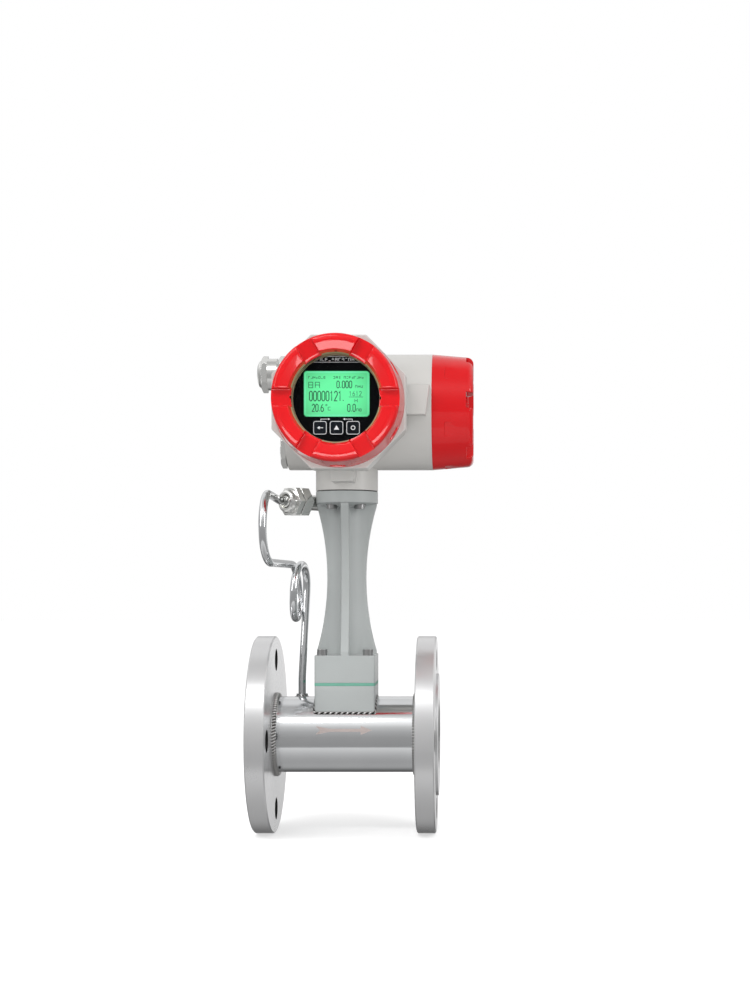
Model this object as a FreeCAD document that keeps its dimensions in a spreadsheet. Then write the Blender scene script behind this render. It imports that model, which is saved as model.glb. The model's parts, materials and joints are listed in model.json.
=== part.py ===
import FreeCAD, Part

import math
import os
import re

import Sketcher

# Row frame, in millimetres: +X along the flow, +Z up, -Y towards the reader of the display.
# The origin is on the tube axis, in the plane that the inlet flange's bolt holes start from.

SIZES = (
    # Flow tube and flanges
    ("face_to_face", 155, "length between the two raised faces"),
    ("pipe_od", 63.5, "outside diameter of the flow tube"),
    ("pipe_bore", 50, "bore of the flow tube"),
    ("flange_od", 165, "outside diameter of a flange"),
    ("flange_thick", 16, "flange thickness without its raised face"),
    ("raised_od", 102, "diameter of the raised gasket face"),
    ("raised_high", 2, "height of the raised gasket face"),
    ("bolt_circle", 125, "pitch circle of the flange bolts"),
    ("bolt_hole", 18, "diameter of a flange bolt hole"),
    ("flange_edge", 1, "chamfer on the flange rim"),
    ("weld_leg", 3, "leg of the welds at the flanges and the block"),
    # Vortex shedder and sensor
    ("shedder_wide", 14, "width of the shedder bar's front face"),
    ("shedder_tail", 5, "width of the shedder bar's back edge"),
    ("shedder_long", 16, "length of the shedder bar along the flow"),
    ("shedder_lead", 32, "distance of the shedder's front face ahead of the neck axis"),
    ("probe_shank", 20, "diameter of the vortex probe's shank"),
    ("probe_flange", 26, "diameter of the vortex probe's flange"),
    ("probe_flange_thick", 5, "thickness of the vortex probe's flange"),
    ("probe_seal_thick", 1.5, "thickness of the ring under the probe's flange"),
    ("probe_stub", 12, "diameter of the probe's upper stub"),
    ("probe_stub_high", 13, "height of the probe's upper stub"),
    ("blade_thick", 3.2, "thickness of the sensing blade"),
    ("blade_long", 14, "length of the sensing blade along the flow"),
    ("blade_reach", 36, "length of the sensing blade below the tube wall"),
    ("thermo_od", 4, "diameter of the temperature probe"),
    ("thermo_head", 6.8, "diameter of the temperature probe's head"),
    ("thermo_head_high", 3.5, "height of the temperature probe's head"),
    ("thermo_offset", 18, "distance of the temperature probe behind the neck axis"),
    ("thermo_reach", 26, "length of the temperature probe inside the bore"),
    ("bore_play", 0.2, "radial play of a piece dropped in its bore"),
    # Base block, gasket and their screws
    ("block_side", 50, "side of the square blocks"),
    ("block_corner", 1.5, "rounding of the blocks' upright edges"),
    ("base_top", 42, "height of the base block's top above the tube axis"),
    ("gasket_thick", 2.5, "thickness of the block gasket"),
    ("screw_offset", 19, "distance of each block screw from the neck axis"),
    ("block_screw", 5, "diameter of a block screw"),
    ("block_screw_long", 34, "length of a block screw's shank"),
    ("screw_head", 8.5, "diameter of a screw head"),
    ("screw_head_high", 5, "height of a screw head"),
    ("hex_key", 4, "width across flats of a screw's socket"),
    ("hex_key_deep", 2.6, "depth of a screw's socket"),
    ("screw_play", 0.4, "radial play of a screw in its clearance hole"),
    ("thread_play", 0.05, "radial play in a tapped hole"),
    # Neck casting
    ("neck_base_high", 22.6, "height of the neck's square base"),
    ("neck_wire_bore", 14, "diameter of the bore through the neck"),
    ("waist_half", 16.2, "half width of the neck at its waist"),
    ("waist_rise", 64, "height of the waist above the square base"),
    ("flare_radius", 215, "radius of the neck's flared outline"),
    ("rib_thick", 6.6, "thickness of a neck rib"),
    ("rib_round", 14, "radius of the hollow between two ribs"),
    ("column_high", 126.9, "height of the ribbed column up to the top flange"),
    ("top_flange_od", 52, "diameter of the neck's top flange"),
    ("top_flange_thick", 9.6, "thickness of the neck's top flange at its rim"),
    ("top_flange_slope", 4.5, "rise of the top flange's sloping underside"),
    ("head_screw_circle", 33, "pitch circle of the screws that hold the head"),
    ("head_screw_long", 20, "length of a head screw's shank"),
    ("spotface", 9.8, "diameter of the seat of a head screw"),
    ("seam_seal_od", 50.4, "diameter of the seal between neck and head"),
    ("seam_seal_thick", 0.8, "thickness of the seal between neck and head"),
    # Head housing
    ("barrel_od", 96.8, "diameter of the head's barrel"),
    ("barrel_right", 72.4, "length of the barrel to the right of the neck axis"),
    ("barrel_rise", 66.1, "height of the barrel's axis above the seam seal"),
    ("barrel_bore", 82, "bore of the barrel behind the side cover"),
    ("barrel_inner", 78, "bore of the barrel behind the terminal plate"),
    ("end_wall", 8, "thickness of the barrel's left wall"),
    ("head_wire_bore", 16, "diameter of the wire passage in the collar"),
    ("chamber_od", 98, "diameter of the display chamber"),
    ("chamber_proud", 1, "how far the chamber stands out past the barrel's left end"),
    ("chamber_bore", 87.6, "bore of the display chamber"),
    ("chamber_front", 84, "distance of the chamber's front face from the neck axis"),
    ("chamber_deep", 32, "depth of the display chamber"),
    ("octagon_flats", 106, "width across flats of the octagonal boss"),
    ("octagon_deep", 26, "depth of the octagonal boss"),
    ("octagon_edge", 2, "rounding of the octagonal boss"),
    ("lower_lug_wide", 20, "width of the lug under the chamber"),
    ("lower_lug_reach", 60.7, "reach of the lower lug below the barrel axis"),
    ("lower_lug_front", 50, "distance of the lower lug's front from the neck axis"),
    ("side_lug_high", 24, "height of the lug beside the chamber"),
    ("side_lug_rise", 4.5, "height of the side lug's middle above the barrel axis"),
    ("side_lug_front", 60, "distance of the side lug's front from the neck axis"),
    ("side_lug_gap", 1.4, "distance of the side lug's end from the barrel's end"),
    ("entry_offset", 32, "distance of each cable entry from the barrel axis"),
    ("entry_thread", 20, "diameter of a cable entry"),
    ("feed_hole", 12, "diameter of the wire hole between the chambers"),
    # Covers
    ("cover_play", 0.3, "radial play of a cover in its chamber"),
    ("spigot_long", 12, "length of a cover's threaded spigot"),
    ("display_cover_od", 104.6, "diameter of the display cover at its base"),
    ("display_cover_front", 98.7, "diameter of the display cover at its front"),
    ("display_cover_high", 34, "height of the display cover"),
    ("display_cover_bore", 79, "bore of the display cover"),
    ("window_front", 71, "diameter of the window at the cover's front"),
    ("window_back", 68.4, "diameter of the window at the glass"),
    ("window_lip", 7, "thickness of the lip in front of the glass"),
    ("glass_thick", 5, "thickness of the window glass"),
    ("glass_play", 0.3, "radial play of the glass in the cover"),
    ("retainer_thick", 4.5, "thickness of the ring that holds the glass"),
    ("retainer_bore", 67.6, "bore of the ring that holds the glass"),
    ("side_cover_taper", 5.8, "decrease of the side cover's diameter to its outer end"),
    ("side_cover_high", 34.1, "height of the side cover"),
    ("side_cover_bore", 72, "bore of the side cover"),
    ("side_cover_wall", 8, "thickness of the side cover's end wall"),
    ("cover_ring_wide", 14.6, "width of the raised ring on the side cover's end"),
    ("cover_dish", 5.2, "depth of the dish inside that ring"),
    ("cover_disc_od", 37, "diameter of the raised disc in the dish"),
    ("cover_disc_high", 0.9, "height of the raised disc"),
    ("cover_round", 5.5, "rounding of a cover's outer edge"),
    ("cover_inner_round", 2.2, "rounding of a cover ring's inner edge"),
    ("notch_wide", 13.5, "width of a grip notch"),
    ("notch_deep", 6, "depth of a grip notch"),
    ("pocket_wide", 12, "width of a flank pocket"),
    ("pocket_start", 4.5, "distance of a flank pocket from the display cover's base"),
    ("pocket_deep", 1, "depth of a flank pocket where it starts on the display cover"),
    ("side_pocket_start", 10.5, "distance of a flank pocket from the side cover's base"),
    ("side_pocket_deep", 0.8, "depth of a flank pocket where it starts on the side cover"),
    ("side_cover_turn", 22.5, "rotation of the side cover as it is screwed home"),
    ("ring_wire", 1.9, "thickness of a cover's sealing ring"),
    ("ring_groove", 2.4, "width of the groove of a sealing ring"),
    ("ring_play", 0.15, "play of a sealing ring in its groove and bore"),
    # Display stack
    ("plate_od", 78, "diameter of the display's face plate"),
    ("plate_thick", 2.5, "thickness of the face plate"),
    ("plate_gap", 1, "gap between the face plate and the ring that holds the glass"),
    ("lcd_wide", 51, "width of the liquid crystal panel"),
    ("lcd_high", 35.4, "height of the liquid crystal panel"),
    ("lcd_rise", 4.2, "height of the panel's middle above the plate's centre"),
    ("lcd_play", 0.2, "play round the panel"),
    ("lcd_recess", 0.4, "depth of the panel's face behind the plate's face"),
    ("key_side", 10.5, "side of a key"),
    ("key_pitch", 12.9, "distance between neighbouring keys"),
    ("key_drop", 22.4, "distance of the keys below the plate's centre"),
    ("key_play", 0.25, "play round a key"),
    ("key_proud", 0.5, "height of a key above the face plate"),
    ("key_flange", 12, "side of a key's flange behind the plate"),
    ("key_flange_thick", 1, "thickness of a key's flange"),
    ("key_gap", 0.1, "gap between a key's flange and the plate"),
    ("key_travel", 0.5, "travel of a key"),
    ("switch_side", 6, "side of a switch behind a key"),
    ("post_od", 5.5, "diameter of the posts between the boards"),
    ("post_circle", 72, "pitch circle of the posts"),
    ("board_thick", 1.6, "thickness of a circuit board"),
    ("display_board_od", 78, "diameter of the display board"),
    ("display_board_gap", 4.4, "distance between display board and face plate"),
    ("main_board_od", 84, "diameter of the main board"),
    ("main_board_rise", 12, "height of the main board above the chamber's floor"),
    ("chip_side", 20, "side of the processor on the main board"),
    ("chip_thick", 2.2, "height of the processor"),
    ("supply_wide", 14, "width of the power supply on the main board"),
    ("supply_high", 18, "height of the power supply"),
    ("relay_wide", 16, "width of the output relay on the main board"),
    ("relay_high", 9, "height of the output relay"),
    ("tall_parts", 7, "how far power supply and relay stand off the main board"),
    # Terminal compartment
    ("terminal_seat", 36, "distance of the terminal plate from the neck axis"),
    ("terminal_plate_thick", 1.6, "thickness of the terminal plate"),
    ("terminal_wide", 56, "length of the terminal block"),
    ("terminal_high", 16, "height of the terminal block"),
    ("terminal_deep", 14, "depth of the terminal block"),
    ("terminal_count", 6, "number of terminals"),
    ("terminal_screw", 5, "diameter of a terminal screw"),
    ("terminal_wall", 1.4, "wall between two terminals"),
    # Cable gland and blanking plug
    ("gland_ring_thick", 1.6, "thickness of the ring under the gland"),
    ("gland_ring_od", 25.6, "outside diameter of the rings under gland and plug"),
    ("gland_hex", 27, "width across flats of the gland's hexagons"),
    ("gland_hex_high", 7, "height of the gland body's hexagon"),
    ("gland_neck_od", 22, "diameter of the gland's threaded neck"),
    ("gland_neck_show", 1.4, "length of neck that shows under the gland nut"),
    ("gland_nut_od", 26.8, "diameter of the gland nut"),
    ("gland_nut_skirt", 8, "height of the gland nut's round skirt"),
    ("gland_nut_hex_high", 5, "height of the gland nut's hexagon"),
    ("gland_dome_high", 3.5, "height of the gland nut's dome"),
    ("gland_dome_od", 16, "diameter of the gland nut's mouth rim"),
    ("gland_mouth", 11, "diameter of the gland nut's mouth"),
    ("gland_bush_od", 17, "outside diameter of the gland's rubber bush"),
    ("gland_bush_bore", 8, "bore of the gland's rubber bush"),
    ("gland_bush_long", 14, "length of the gland's rubber bush"),
    ("plug_hex", 26, "width across flats of the blanking plug"),
    ("plug_head_high", 4.7, "height of the blanking plug's head"),
    ("plug_ring_thick", 2, "thickness of the ring under the blanking plug"),
    ("hex_chamfer", 1, "chamfer of a hexagon's corners"),
    # Siphon tube and pressure fitting
    ("siphon_od", 6.5, "outside diameter of the siphon tube"),
    ("siphon_bore", 4.5, "bore of the siphon tube"),
    ("siphon_lead", 38.8, "distance of the tapping ahead of the neck axis"),
    ("siphon_back", 10.5, "distance of the tapping behind the tube axis"),
    ("socket_od", 10, "diameter of the welded socket"),
    ("socket_rise", 33.5, "height of the socket's top above the tube axis"),
    ("siphon_foot", 30.5, "height of the siphon tube's lower end above the tube axis"),
    ("coil_radius", 22.4, "radius of the siphon's coil"),
    ("coil_drop", 75, "depth of the coil's centre below the fitting's axis"),
    ("coil_entry", 35, "distance of the tube to the left of the neck axis where it enters the coil"),
    ("coil_top", 41, "the same distance at the coil's top"),
    ("coil_front", 43.7, "the same distance at the coil's front"),
    ("coil_back", 41.9, "the same distance at the coil's back"),
    ("coil_exit", 44, "the same distance where the tube leaves the coil"),
    ("lead_straight", 14, "height of the first bend's corner above the socket"),
    ("lead_radius", 60, "radius of the first bend above the socket"),
    ("entry_radius", 19.7, "radius of the coil's first quarter turn"),
    ("bend_front", 94, "distance of the bend's front from the neck axis"),
    ("bend_left", 58.7, "distance of the bend to the left of the neck axis"),
    ("bend_over", 4.5, "height of the bend's top above the fitting's axis"),
    ("bend_foot", 1, "height of the bend's foot above the coil's top"),
    ("bend_straight", 1, "half the straight run between the bend's two arcs"),
    ("hook_lead", 24, "distance of the hook's corner ahead of the fitting's nose"),
    ("hook_side", 2, "sideways distance of the hook's corner from the bend"),
    ("hook_over", 2.5, "height of the hook's corner above the fitting's axis"),
    ("hook_radius", 25, "radius of the hook ahead of the fitting"),
    ("nose_lead", 6, "distance of the last corner ahead of the fitting's nose"),
    ("nose_radius", 16, "radius of the last bend ahead of the fitting"),
    ("fitting_turn", 37, "angle of the fitting's axis from the straight-on direction"),
    ("fitting_drop", 8.6, "depth of the fitting's axis below the neck's top"),
    ("fitting_left", 49.8, "distance of the fitting's nose to the left of the neck axis"),
    ("fitting_front", 20.5, "distance of the fitting's nose in front of the neck axis"),
    ("fitting_thread", 13.2, "diameter of the fitting's thread"),
    ("fitting_hex", 22.6, "width across flats of the fitting's hexagons"),
    ("nose_od", 19.6, "diameter of the union nut's nose"),
    ("nose_high", 5.5, "height of the union nut's nose"),
    ("nut_hex_high", 5.5, "height of the union nut's hexagon"),
    ("union_gap", 1.2, "gap between the union nut and the body"),
    ("union_neck_od", 17, "diameter of the thread inside the union nut"),
    ("union_neck_long", 6.5, "length of the thread inside the union nut"),
    ("union_body_high", 9.8, "height of the union body's hexagon"),
    ("union_thread_long", 36, "length of the thread behind the union body"),
    ("nose_recess_od", 11, "diameter of the recess in the union nut's nose"),
    ("nose_recess_deep", 3, "depth of the recess in the union nut's nose"),
    ("ferrule_od", 9.6, "diameter of the ferrule"),
    ("ferrule_long", 5.5, "length of the ferrule"),
    ("tube_reach", 9, "depth of the siphon tube's end inside the fitting"),
    ("port_od", 16.8, "diameter of the pressure port on the neck"),
    ("port_start", 50, "distance of the port's mouth behind the fitting's nose"),
    ("port_long", 16, "length of the pressure port"),
    ("port_floor", 3, "thickness of the pressure port's closed end"),
    ("port_relief", 0.7, "radial clearance round the thread where it passes the neck"),
    ("cell_thick", 3.5, "thickness of the pressure cell at the bottom of the port"),
)

LEVELS = (
    ("inlet_x", "0 - raised_high"),
    ("outlet_x", "inlet_x + face_to_face"),
    ("neck_x", "inlet_x + face_to_face / 2"),
    ("gasket_top", "base_top + gasket_thick"),
    ("neck_base_top", "gasket_top + neck_base_high"),
    ("waist_z", "neck_base_top + waist_rise"),
    ("flange_seat_z", "neck_base_top + column_high"),
    ("neck_top", "flange_seat_z + top_flange_thick"),
    ("head_foot", "neck_top + seam_seal_thick"),
    ("barrel_z", "head_foot + barrel_rise"),
    ("barrel_left", "chamber_od / 2 - chamber_proud"),
    ("side_cover_front", "barrel_od - side_cover_taper"),
    ("head_screw_offset", "head_screw_circle / 2 * sin(45)"),
    ("post_offset", "post_circle / 2 * sin(45)"),
    ("glass_z", "display_cover_high - window_lip - glass_thick"),
    ("retainer_z", "glass_z - retainer_thick"),
    ("plate_front", "retainer_z - plate_gap"),
    ("plate_back", "plate_front - plate_thick"),
    ("display_board_front", "plate_back - display_board_gap"),
    ("display_board_back", "display_board_front - board_thick"),
    ("main_board_back", "main_board_rise - chamber_deep"),
    ("main_board_front", "main_board_back + board_thick"),
    ("key_back", "plate_back - key_gap - key_flange_thick"),
    ("switch_top", "key_back - key_travel - key_gap"),
    ("terminal_face", "terminal_seat + terminal_plate_thick"),
    ("gland_body_top", "gland_ring_thick + gland_hex_high"),
    ("gland_nut_foot", "gland_body_top + gland_neck_show"),
    ("gland_hex_foot", "gland_nut_foot + gland_nut_skirt"),
    ("gland_dome_foot", "gland_hex_foot + gland_nut_hex_high"),
    ("gland_top", "gland_dome_foot + gland_dome_high"),
    ("union_body_top", "nose_high + nut_hex_high + union_gap"),
    ("union_body_foot", "union_body_top + union_body_high"),
    ("fitting_rise", "neck_top - fitting_drop"),
    ("coil_rise", "fitting_rise - coil_drop"),
)

ORIGIN_PLANES = {"XY": "XY_Plane", "XZ": "XZ_Plane", "YZ": "YZ_Plane"}
LIES_ALONG = {"+Z": (0, 0, 0), "+X": (0, 90, 0), "-X": (0, -90, 0), "-Y": (0, 0, 90), "+Y": (0, 0, -90)}
QUARTERS = ((1, 1), (-1, 1), (-1, -1), (1, -1))

doc = FreeCAD.newDocument("FlowMeter")
sizes = doc.addObject("Spreadsheet::Sheet", "Sizes")
levels = doc.addObject("Spreadsheet::Sheet", "Levels")
owner = {}
parts = []


# Sheets and expressions

def fill_sheets():
    for row, (word, number, note) in enumerate(SIZES, start=1):
        sizes.set(f"A{row}", word)
        sizes.set(f"B{row}", str(number))
        sizes.set(f"C{row}", note)
        sizes.setAlias(f"B{row}", word)
        owner[word] = "Sizes"
    doc.recompute()
    for row, (word, formula) in enumerate(LEVELS, start=1):
        levels.set(f"A{row}", word)
        levels.set(f"B{row}", "=" + cells(formula).replace("Levels.", ""))
        levels.setAlias(f"B{row}", word)
        owner[word] = "Levels"
        doc.recompute()


def cells(words):
    """Turn the plain words of a formula into the cells that hold them."""
    def cell(found):
        word = found.group()
        return f"{owner[word]}.{word}" if word in owner else word
    return re.sub(r"[a-z_]+", cell, str(words))


def number(words):
    return float(sizes.evalExpression(cells(words)))


def bind(thing, **properties):
    for name, words in properties.items():
        thing.setExpression(name, cells(words))


def put(thing, at=("0", "0", "0"), turn=(0, 0, 0)):
    """Place a thing at three formulas, turned by yaw, pitch and roll."""
    vector = "; ".join(cells(words) for words in at)
    rotation = "; ".join(cells(words) for words in turn)
    thing.setExpression("Placement", f"placement(vector({vector}); rotation({rotation}))")
    return thing


def finish_part(thing, label, at=None, turn=(0, 0, 0)):
    if at is not None and thing.TypeId in ("Part::Box", "Part::Cylinder"):
        thing = grouped([thing])
    if at is not None:
        put(thing, at, turn)
    thing.Label = label
    parts.append(thing)
    return thing


def grouped(pieces):
    group = doc.addObject("Part::Compound", "Group")
    group.Links = pieces
    return group


# Solids from primitives

def primitive(kind, at=("0", "0", "0"), turn=(0, 0, 0), **properties):
    thing = doc.addObject("Part::" + kind, kind)
    bind(thing, **properties)
    return put(thing, at, turn)


def rod(diameter, length, at=("0", "0", "0"), turn=(0, 0, 0)):
    return primitive("Cylinder", at, turn, Radius=f"({diameter}) / 2", Height=length)


def block(wide, deep, high, at=("0", "0", "0")):
    """A box with its middle at the first two formulas and its foot at the third."""
    foot = (f"{at[0]} - ({wide}) / 2", f"{at[1]} - ({deep}) / 2", at[2])
    return primitive("Box", foot, Length=wide, Width=deep, Height=high)


def cut(base, *tools):
    for tool in tools:
        thing = doc.addObject("Part::Cut", "Cut")
        thing.Base = base
        thing.Tool = tool
        base = thing
    return base


def fuse(base, *pieces):
    for piece in pieces:
        thing = doc.addObject("Part::Fuse", "Fuse")
        thing.Base = base
        thing.Tool = piece
        thing.Refine = True
        base = thing
    return base


def common(first, second):
    thing = doc.addObject("Part::Common", "Common")
    thing.Base = first
    thing.Tool = second
    return thing


# Solids from sketches

def new_body(name):
    return doc.addObject("PartDesign::Body", name)


def sketch_on(body, plane, rise="0"):
    sketch = body.newObject("Sketcher::SketchObject", "Sketch")
    role = ORIGIN_PLANES[plane]
    features = body.Origin.OriginFeatures
    sketch.AttachmentSupport = [(next(item for item in features if item.Role == role), "")]
    sketch.MapMode = "FlatFace"
    sketch.setExpression("AttachmentOffset.Base.z", cells(rise))
    return sketch


def outline(body, plane, corners, rise="0"):
    """A closed sketch whose corners are pairs of formulas."""
    sketch = sketch_on(body, plane, rise)
    places = [(number(across), number(up)) for across, up in corners]
    count = len(places)
    for index, start in enumerate(places):
        end = places[(index + 1) % count]
        sketch.addGeometry(Part.LineSegment(FreeCAD.Vector(*start, 0), FreeCAD.Vector(*end, 0)))
    for index in range(count):
        sketch.addConstraint(Sketcher.Constraint("Coincident", index, 2, (index + 1) % count, 1))
    for index, pair in enumerate(corners):
        for kind, words, place in zip(("DistanceX", "DistanceY"), pair, places[index]):
            item = sketch.addConstraint(Sketcher.Constraint(kind, -1, 1, index, 1, place))
            sketch.setExpression(f"Constraints[{item}]", cells(words))
    return sketch


def hexagon(body, flats, rise="0"):
    corner = f"({flats}) / 2 / cos(30)"
    corners = [(f"{corner} * cos({angle})", f"{corner} * sin({angle})") for angle in range(0, 360, 60)]
    return outline(body, "XY", corners, rise)


def turned(name, corners):
    """A body turned about its own Z axis from a profile of radius and height."""
    body = new_body(name)
    feature = body.newObject("PartDesign::Revolution", "Turned")
    feature.Profile = outline(body, "XZ", corners)
    feature.ReferenceAxis = (feature.Profile[0], ["V_Axis"])
    feature.Angle = 360
    body.Tip = feature
    doc.recompute()
    return body


def pad(body, sketch, length):
    feature = body.newObject("PartDesign::Pad", "Pad")
    feature.Profile = sketch
    bind(feature, Length=length)
    body.Tip = feature
    doc.recompute()
    return feature


def pocket(body, sketch, length, upwards=False):
    """Cut a sketch into the body and make sure that it took something away."""
    before = body.Shape.Volume
    feature = body.newObject("PartDesign::Pocket", "Pocket")
    feature.Profile = sketch
    feature.Reversed = upwards
    bind(feature, Length=length)
    body.Tip = feature
    doc.recompute()
    if body.Shape.Volume >= before:
        raise RuntimeError("a pocket of " + body.Name + " cuts nothing")
    return feature


def spread(body, feature, count):
    """Repeat a feature evenly about the body's Z axis."""
    pattern = body.newObject("PartDesign::PolarPattern", "Pattern")
    pattern.Originals = [feature]
    features = body.Origin.OriginFeatures
    pattern.Axis = (next(item for item in features if item.Role == "Z_Axis"), [""])
    pattern.Angle = 360
    pattern.Occurrences = count
    body.Tip = pattern
    doc.recompute()
    return pattern


def ease(body, kind, size, chosen):
    """Fillet or chamfer the edges of the body's tip that a test picks out."""
    base = body.Tip
    names = [f"Edge{index}" for index, edge in enumerate(base.Shape.Edges, start=1) if chosen(edge)]
    if not names:
        raise RuntimeError("no edge to ease on " + body.Name)
    feature = body.newObject("PartDesign::" + kind, kind)
    feature.Base = (base, names)
    bind(feature, **{"Radius" if kind == "Fillet" else "Size": size})
    body.Tip = feature
    doc.recompute()
    return feature


def is_upright(edge):
    box = edge.BoundBox
    return box.XLength < 1e-6 and box.YLength < 1e-6


def is_ring(radius, height):
    def test(edge):
        box = edge.BoundBox
        level = abs(box.ZMin - number(height)) < 1e-4 and abs(box.ZMax - number(height)) < 1e-4
        return level and abs(box.XMax - number(radius)) < 1e-4
    return test


def four(maker, offset, centre="neck_x"):
    """Four like pieces at the corners of a square about an upright axis."""
    return [maker((f"{centre} + {across} * {offset}", f"{along} * {offset}")) for across, along in QUARTERS]


# Flow tube, flanges and what stands in the flow

def flow_tube():
    shoulder = "(raised_high + flange_thick)"
    outer = "pipe_od / 2"
    body = turned("TubeBody", [
        ("pipe_bore / 2", "0"),
        (outer, "0"),
        (outer, shoulder),
        (f"{outer} + weld_leg", shoulder),
        (outer, f"{shoulder} + weld_leg"),
        (outer, f"face_to_face - {shoulder} - weld_leg"),
        (f"{outer} + weld_leg", f"face_to_face - {shoulder}"),
        (outer, f"face_to_face - {shoulder}"),
        (outer, "face_to_face"),
        ("pipe_bore / 2", "face_to_face"),
    ])
    put(body, ("inlet_x", "0", "0"), LIES_ALONG["+X"])
    probe_hole = rod("probe_shank + 2 * bore_play", "pipe_od", ("neck_x", "0", "0"))
    thermo_hole = rod("thermo_od + 2 * bore_play", "pipe_od", ("neck_x + thermo_offset", "0", "0"))
    tapping = rod("siphon_bore", "pipe_od", ("neck_x - siphon_lead", "siphon_back", "0"))
    finish_part(cut(body, probe_hole, thermo_hole, tapping), "flow_tube")


def flange(label, at, turn):
    """A flat flange with a raised face; its outward side looks down its own -Z axis."""
    back = "raised_high + flange_thick"
    rim = "flange_od / 2"
    body = turned(label.title().replace("_", ""), [
        ("pipe_od / 2", "0"),
        ("raised_od / 2", "0"),
        ("raised_od / 2", "raised_high"),
        (f"{rim} - flange_edge", "raised_high"),
        (rim, "raised_high + flange_edge"),
        (rim, f"{back} - flange_edge"),
        (f"{rim} - flange_edge", back),
        ("pipe_od / 2", back),
    ])
    sketch = sketch_on(body, "XY")
    place = FreeCAD.Vector(number("bolt_circle / 2"), 0, 0)
    hole = Part.Circle(place, FreeCAD.Vector(0, 0, 1), number("bolt_hole / 2"))
    sketch.addGeometry(hole)
    radius = sketch.addConstraint(Sketcher.Constraint("Radius", 0, number("bolt_hole / 2")))
    sketch.setExpression(f"Constraints[{radius}]", cells("bolt_hole / 2"))
    reach = sketch.addConstraint(Sketcher.Constraint("DistanceX", -1, 1, 0, 3, number("bolt_circle / 2")))
    sketch.setExpression(f"Constraints[{reach}]", cells("bolt_circle / 2"))
    sketch.addConstraint(Sketcher.Constraint("PointOnObject", 0, 3, -1))
    spread(body, pocket(body, sketch, back + " + flange_edge", upwards=True), 4)
    finish_part(body, label, at, turn)


def shedder_bar():
    """A wedge across the bore, flat side upstream, its ends rounded to the bore."""
    body = new_body("ShedderBody")
    front = "neck_x - shedder_lead"
    back = "neck_x - shedder_lead + shedder_long"
    sketch = outline(body, "XY", [
        (front, "shedder_wide / 2"),
        (front, "0 - shedder_wide / 2"),
        (back, "0 - shedder_tail / 2"),
        (back, "shedder_tail / 2"),
    ], "0 - pipe_bore / 2")
    pad(body, sketch, "pipe_bore")
    bore = rod("pipe_bore", "face_to_face", ("inlet_x", "0", "0"), LIES_ALONG["+X"])
    finish_part(common(body, bore), "shedder_bar")


def vortex_probe():
    seat = "(base_top - probe_flange_thick)"
    blade_top = "pipe_od / 2 - blade_thick"
    body = turned("ProbeBody", [
        ("0", blade_top),
        ("probe_shank / 2", blade_top),
        ("probe_shank / 2", seat),
        ("probe_flange / 2", seat),
        ("probe_flange / 2", "base_top"),
        ("probe_stub / 2", "base_top"),
        ("probe_stub / 2", "base_top + probe_stub_high"),
        ("0", "base_top + probe_stub_high"),
    ])
    blade = block("blade_long", "blade_thick", "blade_reach", ("0", "0", f"{blade_top} - blade_reach"))
    finish_part(fuse(body, blade), "vortex_probe", ("neck_x", "0", "0"))


def probe_seal():
    foot = "base_top - probe_flange_thick - probe_seal_thick"
    body = turned("ProbeSealBody", [
        ("probe_shank / 2 + bore_play", "0"),
        ("probe_flange / 2", "0"),
        ("probe_flange / 2", "probe_seal_thick"),
        ("probe_shank / 2 + bore_play", "probe_seal_thick"),
    ])
    finish_part(body, "probe_seal", ("neck_x", "0", foot))


def temperature_probe():
    neck = "base_top - thermo_head_high"
    tip = "pipe_bore / 2 - thermo_reach"
    body = turned("ThermoBody", [
        ("0", tip),
        ("thermo_od / 4", tip),
        ("thermo_od / 2", f"{tip} + thermo_od / 4"),
        ("thermo_od / 2", neck),
        ("thermo_head / 2", neck),
        ("thermo_head / 2", "base_top"),
        ("0", "base_top"),
    ])
    finish_part(body, "temperature_probe", ("neck_x + thermo_offset", "0", "0"))


# Base block, gasket and screws

def square_prism(name, height, rise="0"):
    """A square block about the neck axis with rounded upright edges."""
    body = new_body(name)
    half = "block_side / 2"
    sketch = outline(body, "XY", [
        (half, half),
        (f"0 - {half}", half),
        (f"0 - {half}", f"0 - {half}"),
        (half, f"0 - {half}"),
    ], rise)
    pad(body, sketch, height)
    ease(body, "Fillet", "block_corner", is_upright)
    return put(body, ("neck_x", "0", "0"))


def base_block():
    side = "block_side + 2 * weld_leg"
    tube = rod("pipe_od", "face_to_face", ("inlet_x", "0", "0"), LIES_ALONG["+X"])
    jacket = rod("pipe_od + 2 * weld_leg", "face_to_face", ("inlet_x", "0", "0"), LIES_ALONG["+X"])
    weld = common(jacket, block(side, side, "base_top", ("neck_x", "0", "0")))
    solid = cut(fuse(square_prism("BasePrism", "base_top"), weld), tube)
    seat = "base_top - probe_flange_thick - probe_seal_thick"
    holes = [
        rod("probe_shank + 2 * bore_play", "base_top", ("neck_x", "0", "0")),
        rod("probe_flange + 2 * bore_play", "base_top", ("neck_x", "0", seat)),
        rod("thermo_od + 2 * bore_play", "base_top", ("neck_x + thermo_offset", "0", "0")),
        rod("thermo_head + 2 * bore_play", "base_top", ("neck_x + thermo_offset", "0", "base_top - thermo_head_high")),
    ]
    foot = "neck_base_top - block_screw_long - block_screw / 2"
    tapped = four(lambda at: rod("block_screw + 2 * thread_play", "block_screw_long", (*at, foot)), "screw_offset")
    finish_part(cut(solid, *holes, *tapped), "base_block")


def clearance_holes(foot, height):
    return four(lambda at: rod("block_screw + 2 * screw_play", height, (*at, foot)), "screw_offset")


def block_gasket():
    sheet = square_prism("GasketPrism", "gasket_thick", "base_top")
    holes = [
        rod("probe_stub + 4 * bore_play", "gasket_thick", ("neck_x", "0", "base_top")),
        rod("thermo_od", "gasket_thick", ("neck_x + thermo_offset", "0", "base_top")),
    ]
    finish_part(cut(sheet, *holes, *clearance_holes("base_top", "gasket_thick")), "block_gasket")


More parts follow.
